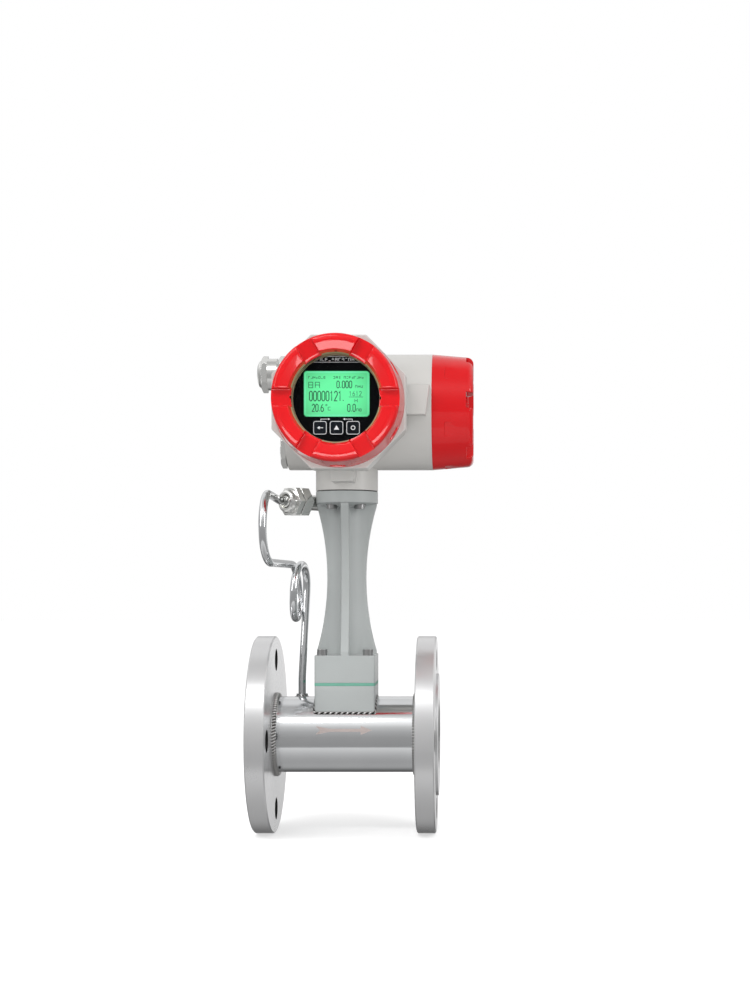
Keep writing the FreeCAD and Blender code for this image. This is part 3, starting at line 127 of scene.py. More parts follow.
class GripSizes(bpy.types.PropertyGroup):
    round: length("Edge rounding", "Radius between a cover's flank and its front", 6.0)
    notch_half: length("Notch half width", "Half the width of a grip notch", 6.75)
    notch_deep: length("Notch depth", "Depth of a grip notch", 6.0)
    notch_round: length("Notch rounding", "Radius at the foot and top of a notch's walls", 0.7)
    pocket_half: length("Pocket half width", "Half the width of a flank pocket", 6.0)
    pocket_edge: length("Pocket edge", "Half the width of a flank pocket's soft edge", 0.35)
    pitch: length("Thread pitch", "Pitch of the covers' threads", 2.0)
    thread_deep: length("Thread depth", "Depth of the covers' threads", 0.5)
    undercut: length("Undercut", "Length without thread at a cover's shoulder", 2.8)
    shoulder: length("Shoulder gap", "Gap between a cover's shoulder and the head", 0.25)
    chamfer: length("Chamfer", "Width of the chamfer at a cover's lower rim", 0.5)


class DisplayCoverSizes(bpy.types.PropertyGroup):
    taper: length("Taper", "Loss of radius from the cover's foot to its front", 2.95)
    crest_in: length("Crest inset", "Distance of the highest ring from the front edge", 5.0)
    crest_fall: length("Crest fall", "Fall of the front from its highest ring to the window", 1.5)
    crest_round: length("Crest rounding", "Radius over the highest ring", 6.0)
    lip_round: length("Lip rounding", "Radius between the front and the window", 1.2)
    window_front: length("Window at the front", "Radius of the window at the cover's front", 36.9)
    window_back: length("Window at the glass", "Radius of the window at the glass", 34.3)
    seat_fall: length("Seat fall", "Depth at which the unpainted window seat starts", 0.9)
    seat_thick: length("Seat thickness", "Thickness of the unpainted window seat", 0.15)
    pocket_from: length("Pocket start", "Height at which the flank pockets start", 4.5)
    pocket_deep: length("Pocket depth", "Depth of a flank pocket under the foot's radius", 1.4)
    spigot: length("Spigot", "Radius over the thread", 43.5)
    glass_play: length("Glass play", "Gap round the window glass", 0.3)


class SideCoverSizes(bpy.types.PropertyGroup):
    foot: length("Foot", "Radius of the cover at the head", 48.4)
    front: length("Front", "Radius of the cover at its front", 45.5)
    ring: length("Front ring", "Width of the ring round the dish", 14.6)
    ring_round: length("Ring rounding", "Radius at the ring's inner edge", 1.2)
    slope: length("Slope", "Width of the slope between the ring and the dish", 4.2)
    slope_round: length("Slope rounding", "Radius at the slope's foot", 1.5)
    dish: length("Dish", "Depth of the dish under the ring", 5.2)
    disc: length("Disc", "Radius of the raised disc in the dish", 18.2)
    disc_high: length("Disc height", "Height of the raised disc", 1.0)
    disc_round: length("Disc rounding", "Radius and slant at the disc's edge", 0.4)
    pocket_from: length("Pocket start", "Height at which the flank pockets start", 10.5)
    pocket_deep: length("Pocket depth", "Depth of a flank pocket under the foot's radius", 1.7)
    spigot: length("Spigot", "Radius over the thread", 40.7)
    bore: length("Bore", "Radius of the cover's bore", 36)
    roof: length("Roof", "Depth of the bore's end under the front", 8)
    turned: FloatProperty(name="Turn at rest", description="Turn of the grips when the cover is screwed home",
                          default=math.radians(-7.5), unit="ROTATION", subtype="ANGLE")


class PaintColours(bpy.types.PropertyGroup):
    red: colour("Red enamel", "Colour of the two screw covers", (0.60, 0.003, 0.006))
    white: colour("Off-white paint", "Colour of the head's housing", (0.54, 0.53, 0.51))
    grey: colour("Grey paint", "Colour of the neck and the base block", (0.44, 0.465, 0.46))
    green: colour("Gasket green", "Colour of the gasket between the blocks", (0.17, 0.43, 0.33))
    lit: colour("Display green", "Light of the display", (0.125, 1.0, 0.37))
    tan: colour("Window ring", "Colour of the unpainted window seat", (0.34, 0.25, 0.15))


class TubeSizes(bpy.types.PropertyGroup):
    radius: length("Tube radius", "Outer radius of the flow tube", 31.75)
    weld_half: length("Flange weld", "Half the thickness of the weld beads at the flanges", 2.4)
    weld_pitch: length("Weld ripple", "Distance between two ripples of a weld bead", 2.4)
    foot_weld: length("Foot weld", "Half the thickness of the beads round the block and the socket", 1.1)
    foot_pitch: length("Foot weld ripple", "Distance between two ripples of the weld round the block", 4.7)
    block_round: length("Block rounding", "Rounding of the base block's upright edges", 1.5)
    arrow_long: length("Arrow length", "Length of the flow arrow on the tube", 46)
    arrow_high: length("Arrow height", "Height of the flow arrow's head", 7.4)
    arrow_rise: length("Arrow rise", "Height of the flow arrow above the tube axis", 6.0)
    bolt_circle: length("Bolt circle", "Diameter of the circle of the flanges' bolt holes", 125)
    bolt_hole: length("Bolt hole", "Diameter of a flange's bolt hole", 18)


class PrintSizes(bpy.types.PropertyGroup):
    line: length("Print line", "Width of the printed lines on the face plate", 0.45)
    ink: length("Digit line", "Width of a digit's strokes", 0.62)
    panel_round: length("Panel corner", "Corner radius of the display's lit border", 2.2)
    key_round: length("Key corner", "Corner radius of a key's printed outline", 1.6)


class CameraSizes(bpy.types.PropertyGroup):
    away: length("Distance", "Distance of the camera in front of the neck axis", 1371)
    right: length("Right", "Distance of the camera to the right of the neck axis", 111.1)
    rise: length("Height", "Height of the camera above the tube axis", 125.5)
    lens: FloatProperty(name="Lens", description="Focal length in millimetres", default=58.64)
    shift_x: FloatProperty(name="Shift X", description="Sideways shift of the frame", default=-0.104)
    shift_y: FloatProperty(name="Shift Y", description="Upward shift of the frame", default=0.085)


# Shader trees

class Value:
    """A number socket that takes part in sums as a Python number does."""

    def __init__(self, tree, socket):
        self.tree = tree
        self.socket = socket

    def sum(self, operation, first, second=0.0):
        node = self.tree.add("ShaderNodeMath", {"operation": operation}, {0: first, 1: second})
        return Value(self.tree, node.outputs[0])

    def __add__(self, other):
        return self.sum("ADD", self, other)

    def __radd__(self, other):
        return self.sum("ADD", other, self)

    def __sub__(self, other):
        return self.sum("SUBTRACT", self, other)

    def __rsub__(self, other):
        return self.sum("SUBTRACT", other, self)

    def __mul__(self, other):
        return self.sum("MULTIPLY", self, other)

    def __rmul__(self, other):
        return self.sum("MULTIPLY", other, self)

    def __lt__(self, other):
        return self.sum("LESS_THAN", self, other)

    def __gt__(self, other):
        return self.sum("GREATER_THAN", self, other)

    def __abs__(self):
        return self.sum("ABSOLUTE", self)


def set_stops(elements, stops):
    """Greys along a ramp, given as (position, level)."""
    while len(elements) < len(stops):
        elements.new(1.0)
    for element, (position, level) in zip(elements, stops):
        element.position = position
        element.color = (level, level, level, 1)


class Tree:
    """A shader tree under construction, with one way of adding nodes."""

    def __init__(self, owner):
        owner.use_nodes = True
        self.tree = owner.node_tree
        self.tree.nodes.clear()
        self.places = self.add("ShaderNodeTexCoord", {}, {}).outputs

    def add(self, kind, settings, sockets):
        """A node of some kind, with its settings set before its sockets are fed."""
        node = self.tree.nodes.new(kind)
        for name, setting in settings.items():
            if name == "stops":
                set_stops(node.color_ramp.elements, setting)
            else:
                setattr(node, name, setting)
        for name, given in sockets.items():
            self.feed(node.inputs[name], given)
        return node

    def feed(self, socket, given):
        if isinstance(given, Value):
            given = given.socket
        if isinstance(given, bpy.types.NodeSocket):
            self.tree.links.new(given, socket)
        elif isinstance(given, tuple) and len(given) == 3 and socket.type == "RGBA":
            socket.default_value = (*given, 1)
        else:
            socket.default_value = given

    def mix(self, share, first, second):
        node = self.add("ShaderNodeMix", {"data_type": "RGBA"}, {0: share, 6: first, 7: second})
        return node.outputs[2]

    def shade(self, share, tint, dark, light):
        """A tint between two levels of its own brightness."""
        return self.mix(share, *(tuple(min(1.0, part * level) for part in tint) for level in (dark, light)))


class Finish(Tree):
    """A material under construction."""

    def __init__(self, name):
        self.material = bpy.data.materials.new(name)
        super().__init__(self.material)
        self.where = self.places["Object"]

    def noise(self, scale, detail=2.0, stretch=(1, 1, 1), rough=0.5):
        """Fractal noise of the given cells per metre, stretched along the axes."""
        place = self.add("ShaderNodeVectorMath", {"operation": "MULTIPLY"}, {0: self.where, 1: stretch})
        node = self.add("ShaderNodeTexNoise", {}, {"Vector": place.outputs[0], "Scale": scale,
                                                   "Detail": detail, "Roughness": rough})
        return Value(self, node.outputs["Fac"])

    def distance(self, keep, centre=(0, 0, 0)):
        """Distance from a line: keep is 0 along the line's direction."""
        moved = self.add("ShaderNodeVectorMath", {"operation": "SUBTRACT"}, {0: self.where, 1: centre})
        flat = self.add("ShaderNodeVectorMath", {"operation": "MULTIPLY"}, {0: moved.outputs[0], 1: keep})
        node = self.add("ShaderNodeVectorMath", {"operation": "LENGTH"}, {0: flat.outputs[0]})
        return Value(self, node.outputs["Value"])

    def lines(self, place, scale):
        """Noise that changes along one number only, such as the marks of a turning tool."""
        node = self.add("ShaderNodeTexNoise", {"noise_dimensions": "1D"}, {"W": place, "Scale": scale,
                                                                         "Detail": 3.0})
        return Value(self, node.outputs["Fac"])

    def bump(self, height, distance, edge=0.4 * MM):
        """A bumped normal over softly rounded edges."""
        eased = self.add("ShaderNodeBevel", {"samples": 6}, {"Radius": edge}).outputs[0]
        node = self.add("ShaderNodeBump", {}, {"Height": height, "Distance": distance, "Normal": eased})
        return node.outputs["Normal"]

    def surface(self, sockets):
        shader = self.add("ShaderNodeBsdfPrincipled", {}, sockets)
        self.add("ShaderNodeOutputMaterial", {}, {"Surface": shader.outputs[0]})
        return self.material


def enamel(name, tint, roughness):
    """Sprayed paint: faint clouds in the colour, a clear coat and an orange-peel skin."""
    finish = Finish(name)
    clouds = finish.noise(35, 3)
    peel = finish.noise(650, 2)
    return finish.surface({
        "Base Color": finish.shade(clouds, tint, 0.90, 1.10),
        "Roughness": roughness + (clouds - 0.5) * 0.08,
        "Specular IOR Level": 0.1,
        "Coat Weight": 0.5,
        "Coat Roughness": 0.05,
        "Normal": finish.bump(peel, 0.01 * MM),
    })


def cast_paint(name, tint, roughness):
    """Satin paint over a sand-cast skin."""
    finish = Finish(name)
    clouds = finish.noise(28, 4)
    skin = finish.noise(900, 4, rough=0.6)
    speck = finish.noise(2600, 1)
    return finish.surface({
        "Base Color": finish.shade(clouds, tint, 0.93, 1.06),
        "Roughness": roughness + (clouds - 0.5) * 0.12 + (speck - 0.5) * 0.10,
        "Coat Weight": 0.15,
        "Coat Roughness": 0.25,
        "Normal": finish.bump(skin, 0.07 * MM, 1.0 * MM),
    })


def plated_metal(name, tint, roughness):
    """Bright plating with fine scratches."""
    finish = Finish(name)
    scratches = finish.noise(1400, 3)
    clouds = finish.noise(30, 3)
    return finish.surface({
        "Base Color": finish.shade(clouds, tint, 0.90, 1.04),
        "Metallic": 1.0,
        "Roughness": roughness + (scratches - 0.5) * 0.08 + (clouds - 0.5) * 0.04,
        "Normal": finish.bump(scratches, 0.002 * MM),
    })


def tube_steel(name, sizes):
    """Steel polished along the tube, and dull steel in the bore."""
    finish = Finish(name)
    streaks = finish.noise(1400, 3, (0.05, 1, 1))
    clouds = finish.noise(30, 3)
    bore = finish.distance((0, 1, 1)) < sizes.radius - 2.0 * MM
    bright = finish.mix(clouds, (0.66, 0.67, 0.68), (0.75, 0.76, 0.77))
    return finish.surface({
        "Base Color": finish.mix(bore, bright, (0.42, 0.42, 0.42)),
        "Metallic": 1.0,
        "Roughness": 0.12 + (streaks - 0.5) * 0.06 + (clouds - 0.5) * 0.03 + bore * 0.30,
        "Normal": finish.bump(streaks, 0.002 * MM),
    })


def turned_steel(name, tint, roughness, keep):
    """Metal turned on a lathe, with tool marks in rings round the neck's axis."""
    finish = Finish(name)
    rings = finish.lines(finish.distance(keep, tuple(NECK)), 2600)
    clouds = finish.noise(25, 3)
    return finish.surface({
        "Base Color": finish.shade(clouds, tint, 0.92, 1.04),
        "Metallic": 1.0,
        "Roughness": roughness + (rings - 0.5) * 0.20 + (clouds - 0.5) * 0.08,
        "Normal": finish.bump(rings, 0.03 * MM),
    })


def flange_steel(name, sizes):
    """Steel with tool marks on its faces, a smooth rim and painted shade inside the bolt holes."""
    finish = Finish(name)
    radius = finish.distance((0, 1, 1))
    faces = radius < high("inlet_flange").z - 0.3 * MM
    rings = (finish.lines(radius, 1800) - 0.5) * faces
    clouds = finish.noise(25, 3)
    split = finish.add("ShaderNodeSeparateXYZ", {}, {0: finish.where})
    across = abs(Value(finish, split.outputs["Y"]))
    up = abs(Value(finish, split.outputs["Z"]))
    reach = sizes.bolt_circle / 2
    # Mask of the bolt holes, whose walls get painted near-black shade
    hole = 0
    for turn in (0, math.pi / 2):
        aside = across - reach * math.sin(turn)
        above = up - reach * math.cos(turn)
        hole = hole + (aside * aside + above * above < (sizes.bolt_hole / 2 + 0.2 * MM) ** 2)
    steel = finish.mix(clouds, (0.65, 0.65, 0.66), (0.72, 0.72, 0.72))
    return finish.surface({
        # Painted shade: the bolt holes' walls take a near-black colour
        "Base Color": finish.mix(hole, steel, (0.03, 0.03, 0.03)),
        "Metallic": 0.75,
        "Roughness": 0.28 + rings * 0.12 + (clouds - 0.5) * 0.04 + hole * 0.3,
        "Normal": finish.bump(rings, 0.002 * MM),
    })


def weld_steel(name):
    """Bright weld metal with painted shade, near black, in the gaps between its ripples."""
    finish = Finish(name)
    clouds = finish.noise(260, 3)
    ripple = finish.add("ShaderNodeAttribute", {"attribute_name": "ripple"}, {}).outputs["Fac"]
    metal = finish.mix(clouds, (0.60, 0.59, 0.58), (0.84, 0.83, 0.82))
    return finish.surface({
        # Painted shade: the ripple attribute darkens the gaps between ripples to near black
        "Base Color": finish.mix(ripple, (0.03, 0.028, 0.026), metal),
        "Metallic": 1.0,
        "Roughness": 0.24 + clouds * 0.18,
        "Normal": finish.bump(clouds, 0.03 * MM, 0.1 * MM),
    })


def moulded(name, tint, roughness, grain=1500, specular=0.5):
    """Plastic or rubber with a fine moulded grain."""
    finish = Finish(name)
    clouds = finish.noise(60, 2)
    skin = finish.noise(grain, 3)
    return finish.surface({
        "Base Color": finish.shade(clouds, tint, 0.85, 1.15),
        "Roughness": roughness + (skin - 0.5) * 0.15,
        "Specular IOR Level": specular,
        "Normal": finish.bump(skin, 0.04 * MM),
    })


def lit_panel(name, tint, shade):
    """A backlit panel that fades a little towards its edges."""
    finish = Finish(name)
    away = finish.distance((0.8, 0, 1), tuple(middle("lcd_panel")))
    glow = 1.15 - away * away * 1500
    return finish.surface({
        "Base Color": (0.02, 0.05, 0.03),
        "Roughness": 0.25 + glow * 0.1,
        "Emission Color": finish.shade(glow, tint, 0.50 * shade, 1.05 * shade),
        "Emission Strength": 0.90,
    })


def ink(name, tint):
    """Printed or etched marks, a little uneven."""
    finish = Finish(name)
    clouds = finish.noise(400, 3)
    return finish.surface({
        "Base Color": finish.shade(clouds, tint, 0.85, 1.1),
        "Roughness": 0.5 + (clouds - 0.5) * 0.1,
    })


def clear_glass(name):
    """Thin glass with a faint smear."""
    finish = Finish(name)
    smear = finish.noise(45, 4)
    return finish.surface({
        "Base Color": (0.97, 0.99, 0.98),
        "Roughness": 0.01 + smear * 0.03,
        "Transmission Weight": 1.0,
        "IOR": 1.1,
        "Alpha": 0.05 + smear * 0.02,
    })


@cache
def material(name):
    """A finish by its name, made once."""
    colours = bpy.context.scene.paint_colours
    tube = bpy.context.scene.tube_sizes
    finishes = {
        "polished_steel": (tube_steel, tube),
        "flange_steel": (flange_steel, tube),
        "weld_steel": (weld_steel,),
        "plated_brass": (plated_metal, (0.80, 0.80, 0.78), 0.20),
        "dark_screws": (turned_steel, (0.42, 0.42, 0.42), 0.30, (1, 1, 0)),
        "brass_posts": (turned_steel, (0.75, 0.55, 0.22), 0.28, (1, 1, 1)),
        "grey_casting": (cast_paint, colours.grey, 0.42),
        "white_casting": (cast_paint, colours.white, 0.38),
        "red_covers": (enamel, colours.red, 0.24),
        "green_gasket": (moulded, colours.green, 0.55),
        "tan_ring": (moulded, colours.tan, 0.45),
        "black_rubber": (moulded, (0.02, 0.02, 0.02), 0.6),
        "circuit_board": (moulded, (0.01, 0.10, 0.04), 0.35),
        "terminal_plastic": (moulded, (0.03, 0.22, 0.10), 0.45),
        "charcoal_plate": (moulded, (0.002, 0.0024, 0.0032), 0.42, 2400, 0.05),
        "keys": (moulded, (0.006, 0.008, 0.012), 0.40, 2400, 0.1),
        "lit_display": (lit_panel, colours.lit, 1.0),
        "display_rim": (lit_panel, colours.lit, 1.4),
        "display_ink": (ink, (0.006, 0.05, 0.025)),
        "white_print": (ink, (0.80, 0.82, 0.84)),
        "arrow_print": (ink, (0.48, 0.41, 0.39)),
        "window_glass": (clear_glass,),
    }
    maker, *details = finishes[name]
    return maker(name, *details)


# Meshes

# An edge between two faces that stand steeper than this is drawn sharp
SHARP = math.radians(38)


def rounded(corners, steps, closed=False):
    """A profile with an arc of its own radius at each corner, given as (across, up, radius)."""
    points = []
    count = len(corners)
    for index, (across, up, radius) in enumerate(corners):
        here = complex(across, up)
        if radius <= 0 or (not closed and index in (0, count - 1)):
            points.append((across, up))
            continue
        back = complex(*corners[index - 1][:2]) - here
        ahead = complex(*corners[(index + 1) % count][:2]) - here
        half = abs(cmath.phase(ahead / back)) / 2
        reach = min(radius / math.tan(half), abs(back) * 0.499, abs(ahead) * 0.499)
        radius = reach * math.tan(half)
        inward = back / abs(back) + ahead / abs(ahead)
        centre = here + inward / abs(inward) * radius / math.sin(half)
        start = here + back / abs(back) * reach - centre
        turn = cmath.phase((here + ahead / abs(ahead) * reach - centre) / start)
        for step in range(steps + 1):
            point = centre + start * cmath.exp(1j * turn * step / steps)
            points.append((point.real, point.imag))
    return points


def add_grid(shape, rows, loop=True):
    """Quads between rows of points; loop joins the two ends of every row."""
    made = [[shape.verts.new(point) for point in row] for row in rows]
    for lower, upper in zip(made, made[1:]):
        count = len(lower)
        for index in range(count if loop else count - 1):
            after = (index + 1) % count
            shape.faces.new((lower[index], lower[after], upper[after], upper[index]))
    return made


def circle(radius, rise, steps):
    """Points round the local Z axis."""
    turns = (math.tau * step / steps for step in range(steps))
    return [Vector((radius * math.cos(turn), radius * math.sin(turn), rise)) for turn in turns]


def lathe(shape, profile, steps=160):
    """Turn a profile of (radius, rise) about the local Z axis."""
    add_grid(shape, [circle(radius, rise, steps) for radius, rise in profile])


def shrink(outline, by):
    """An outline moved inwards along its own normals."""
    points = []
    count = len(outline)
    for index, (across, up) in enumerate(outline):
        back = complex(*outline[index - 1])
        ahead = complex(*outline[(index + 1) % count])
        normal = (ahead - back) * 1j / max(abs(ahead - back), 1e-9)
        points.append((across + normal.real * by, up + normal.imag * by))
    return points


def quarter(steps):
    """Angles from 0 to a right angle."""
    return [math.pi / 2 * step / steps for step in range(steps + 1)]


def piece(name, shape, slot, body, replaces=(), place=None, look=None):
    """Turn a finished mesh into an object that rides on a body; look names a finish other than the slot's."""
    bmesh.ops.remove_doubles(shape, verts=shape.verts, dist=1e-6)
    bmesh.ops.recalc_face_normals(shape, faces=shape.faces)
    if place is not None:
        shape.transform(place)
    data = bpy.data.meshes.new(name)
    shape.to_mesh(data)
    shape.free()
    data.shade_smooth()
    data.set_sharp_from_angle(angle=SHARP)
    thing = bpy.data.objects.new(name, data)
    bpy.context.scene.collection.objects.link(thing)
    data.materials.append(material(look or slot))
    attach(thing, body)
    if replaces:
        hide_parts(*replaces)


# Screw covers

def sector_columns(grip):
    """Columns of half a grip of a cover, from a notch's middle to a pocket's middle.

    Each column is (side, offset, share): side tells whether the offset is measured from the notch or from the
    pocket, and share is 0 on the floor and 1 on the full surface."""
    half = grip.notch_half
    soft = grip.notch_round
    steep = grip.notch_deep
    columns = [("notch", half * part, 0.0) for part in (0.0, 0.35, 0.65)]
    for a in quarter(3):
        columns.append(("notch", half - soft + soft * math.sin(a), soft * (1 - math.cos(a)) / steep))
    for a in quarter(3):
        columns.append(("notch", half + soft * (1 - math.cos(a)), 1 - soft * (1 - math.sin(a)) / steep))
    columns += [("between", part, 1.0) for part in (0.2, 0.4, 0.6, 0.8)]
    half = grip.pocket_half
    for part, share in ((1, 1.0), (1 / 3, 0.92), (-1 / 3, 0.08), (-1, 0.0)):
        columns.append(("pocket", half + grip.pocket_edge * part, share))
    return columns + [("pocket", half * part, 0.0) for part in (0.66, 0.33, 0.0)]


def column_turn(column, radius, grip):
    """The angle between a notch's middle and a column at some radius."""
    side, offset, _ = column
    if side == "notch":
        return math.asin(offset / radius)
    if side == "pocket":
        return SIXTH / 2 - math.asin(min(offset, radius) / radius)
    first = math.asin((grip.notch_half + grip.notch_round) / radius)
    last = SIXTH / 2 - math.asin((grip.pocket_half + grip.pocket_edge) / radius)
    return first + (last - first) * offset


def grip_rows(profile, grip, notch_floor, pocket_start, pocket_floor, notch_from):
    """Rows of a cover's outside: notches sunk from the front and flats sunk in the flank."""
    half = sector_columns(grip)
    columns = [(column, 1) for column in half[:-1]] + [(column, -1) for column in reversed(half[1:])]
    rows = []
    for radius, rise in profile:
        row = []
        for sector in range(6):
            for column, sign in columns:
                side, _, share = column
                turn = column_turn(column, max(radius, notch_from), grip)
                angle = SIXTH * sector + (turn if sign > 0 else SIXTH - turn)
                place_r, place_z = radius, rise
                if side == "notch" and radius > notch_from:
                    place_z = rise * share + min(rise, notch_floor) * (1 - share)
                if side == "pocket" and rise > pocket_start:
                    flat = pocket_floor / math.cos(SIXTH / 2 - turn)
                    place_r = radius * share + min(radius, flat) * (1 - share)
                row.append(Vector((place_r * math.cos(angle), place_r * math.sin(angle), place_z)))
        rows.append(row)
    return rows


def flank(crown, foot, front, start):
    """Extra rings on the tapered flank, close together round the start of the pockets."""
    step = 1.2 * MM
    close = start + step / 2
    levels = [0.0, 0.5 * MM, start - 0.5 * MM, start, start + step / 8, close]
    rise = close + step
    top = crown[0][1]
    while rise < top:
        levels.append(rise)
        rise += step * 2
    slope = (front[0] - foot[0]) / (front[1] - foot[1])
    return [(foot[0] + slope * (level - foot[1]), level) for level in levels if level < top]


def thread(radius, start, end, grip):
    """The zigzag of a screw thread along a spigot, as plain rings."""
    points = []
    rise = start + grip.pitch / 2
    while rise + grip.pitch < end:
        points += [(radius, rise), (radius - grip.thread_deep, rise + grip.pitch / 2)]
        rise += grip.pitch
    return points + [(radius, rise)]


def screw_inside(shape, grip, middle_ring, bore, roof, spigot, foot):
    """A cover's bore from its roof down, the thread over it and the shoulder towards the head."""
    lathe(shape, [(middle_ring, roof), (bore, roof), (bore, -SPIGOT), (spigot, -SPIGOT)]
          + thread(spigot, -SPIGOT, -grip.undercut, grip)
          + [(spigot, -grip.undercut), (spigot, grip.shoulder), (foot - grip.chamfer, grip.shoulder),
             (foot, grip.shoulder + grip.chamfer * 0.9)])


def display_cover(sizes, grip):
    """The screwed ring with the window."""
    foot = half_width("display_cover")
    front = foot - sizes.taper
    top = CHAMBER_FACE - low("display_cover").y
    lip = top - sizes.crest_fall
    glass = CHAMBER_FACE - low("window_glass").y
    crown = rounded([
        (foot, 0, 0),
        (front, top - sizes.crest_fall * 0.6, grip.round * 0.8),
        (front - sizes.crest_in, top, sizes.crest_round),
        (sizes.window_front, lip, sizes.lip_round),
        (sizes.window_back, glass, 0),
    ], 10)[1:]
    profile = flank(crown, (foot, 0), (front, top), sizes.pocket_from) + crown
    shape = bmesh.new()
    add_grid(shape, grip_rows(profile, grip, top - grip.notch_deep, sizes.pocket_from,
                              foot - sizes.pocket_deep, 0))
    bore = half_width("window_glass") + sizes.glass_play
    screw_inside(shape, grip, sizes.window_back, bore, glass, sizes.spigot, foot)
    piece("display_cover_ring_form", shape, "red_covers", "display_cover_turn", ["display_cover"], DISPLAY)
    window_seats(sizes, grip, lip - sizes.seat_fall, glass)


def window_seats(sizes, grip, front, back):
    """The unpainted slopes of the window between the notches."""
    shape = bmesh.new()
    half = SIXTH / 2 - math.asin((grip.notch_half + grip.notch_round) / sizes.window_back)
    lift = 0.05 * MM
    thick = sizes.seat_thick
    corners = ((sizes.window_front, front), (sizes.window_back, back), (sizes.window_back - thick, back),
               (sizes.window_front - thick, front))
    count = 24
    for sector in range(6):
        rows = []
        for step in range(count + 1):
            turn = SIXTH * (sector + 0.5) + half * (2 * step / count - 1)
            way = Vector((math.cos(turn), math.sin(turn), 0))
            rows.append([way * radius + Vector((0, 0, rise + lift)) for radius, rise in corners])
        made = add_grid(shape, rows)
        shape.faces.new(made[0])
        shape.faces.new(made[-1])
    piece("window_seats", shape, "tan_ring", "display_cover_turn", place=DISPLAY)


def side_cover(sizes, grip):
    """The blind screwed cover at the barrel's end."""
    top = high("side_cover").x - BARREL_END
    inner = sizes.front - sizes.ring
    dish_edge = inner - sizes.slope
    dish = top - sizes.dish
    disc = dish + sizes.disc_high
    last_ring = 8.5 * MM
    crown = rounded([
        (sizes.foot, 0, 0),
        (sizes.front, top, grip.round * 0.9),
        (inner, top, sizes.ring_round),
        (dish_edge, dish, sizes.slope_round),
        (sizes.disc + sizes.disc_round, dish, sizes.disc_round),
        (sizes.disc, disc, sizes.disc_round),
        (last_ring, disc, 0),
    ], 8)[1:]
    profile = flank(crown, (sizes.foot, 0), (sizes.front, top), sizes.pocket_from) + crown
    shape = bmesh.new()
    made = add_grid(shape, grip_rows(profile, grip, top - grip.notch_deep, sizes.pocket_from,
                                     sizes.foot - sizes.pocket_deep, dish_edge))
    shape.faces.new(made[-1])
    screw_inside(shape, grip, 0.5 * MM, sizes.bore, top - sizes.roof, sizes.spigot, sizes.foot)
    turned = SIDE @ Matrix.Rotation(sizes.turned, 4, "Z")
    piece("side_cover_form", shape, "red_covers", "side_cover_turn", ["side_cover"], turned)


class METER_OT_covers(bpy.types.Operator):
    """Build the two red screw covers"""
    bl_idname = "meter.covers"
    bl_label = "Screw covers"

    def execute(self, context):
        scene = context.scene
        display_cover(scene.display_cover_sizes, scene.grip_sizes)
        side_cover(scene.side_cover_sizes, scene.grip_sizes)
        return {"FINISHED"}


# Base block, welds and flow arrow

def spaced(points, step):
    """Points at even steps along a closed flat outline."""
    ends = points + points[:1]
    spans = [abs(complex(*after) - complex(*before)) for before, after in zip(ends, ends[1:])]
    count = max(3, round(sum(spans) / step))
    even = sum(spans) / count
    result = []
    index = 0
    passed = 0.0
    for number in range(count):
        while passed + spans[index] < number * even:
            passed += spans[index]
            index += 1
        share = (number * even - passed) / spans[index]
        before, after = ends[index], ends[index + 1]
        result.append(tuple(first + (last - first) * share for first, last in zip(before, after)))
    return result


def block_outline(grow, corner, step):
    """The base block's outline from above, grown by some margin."""
    half = half_width("block_gasket") + grow
    corners = [(half, half, corner), (-half, half, corner), (-half, -half, corner), (half, -half, corner)]
    return spaced(rounded(corners, 8, closed=True), step)


def on_tube(radius, across):
    """Height of a tube's surface at some distance from its middle."""
    return math.sqrt(radius * radius - across * across)


def base_block(sizes):
    """The block welded to the tube, its foot cut to the tube's curve."""
    top = high("base_block").z
    outline = block_outline(0, sizes.block_round, 1.0 * MM)
    soft = 0.35 * MM
    rows = [[Vector((x, y, on_tube(sizes.radius, y) + fall)) for x, y in shrink(outline, inset)]
            for inset, fall in ((2.0 * MM, -1.5 * MM), (0, -0.4 * MM))]
    for share in (0.25, 0.5, 0.75):
        rows.append([Vector((x, y, on_tube(sizes.radius, y) * (1 - share) + (top - soft) * share))
                     for x, y in outline])
    for a in quarter(3):
        rise = top - soft + soft * math.sin(a)
        rows.append([Vector((x, y, rise)) for x, y in shrink(outline, soft * (1 - math.cos(a)))])
    shape = bmesh.new()
    made = add_grid(shape, rows)
    shape.faces.new(made[-1])
    shape.faces.new(list(reversed(made[0])))
    piece("base_block_form", shape, "grey_casting", "meter", ["base_block"], Matrix.Translation(NECK))


def bead(name, stations, half, pitch, steps=12, shine=2):
    """A closed weld bead of overlapping ripples over (point, outward, sideways) stations.

    The attribute called ripple is painted shade: 0 in the gaps between two ripples and 1 on their crests."""
    shape = bmesh.new()
    layer = shape.verts.layers.float.new("ripple")
    shades = []
    whole = sum((after[0] - before[0]).length for before, after in zip(stations, stations[1:] + stations[:1]))
    pitch = whole / round(whole / pitch)
    rows = []
    passed = 0.0
    for before, station in zip(stations[-1:] + stations, stations):
        point, outward, sideways = station
        passed += (point - before[0]).length if rows else 0.0
        row = []
        for step in range(steps):
            turn = math.tau * step / steps
            side = math.sin(turn)
            ripple = math.sqrt(abs(math.sin(math.pi * (passed / pitch + 0.35 * side))))
            # Painted shade: dark in the gaps, bright on the crests; a higher shine widens the dark gaps
            shades.append(ripple ** (2 * shine))
            swell = 0.60 + 0.45 * ripple
            row.append(point + (outward * math.cos(turn) + sideways * side) * half * swell)
        rows.append(row)
    made = add_grid(shape, rows + rows[:1])
    for vert, shade in zip((vert for row in made for vert in row), shades + shades[:steps]):
        vert[layer] = shade
    piece(name, shape, "polished_steel", "meter", look="weld_steel")


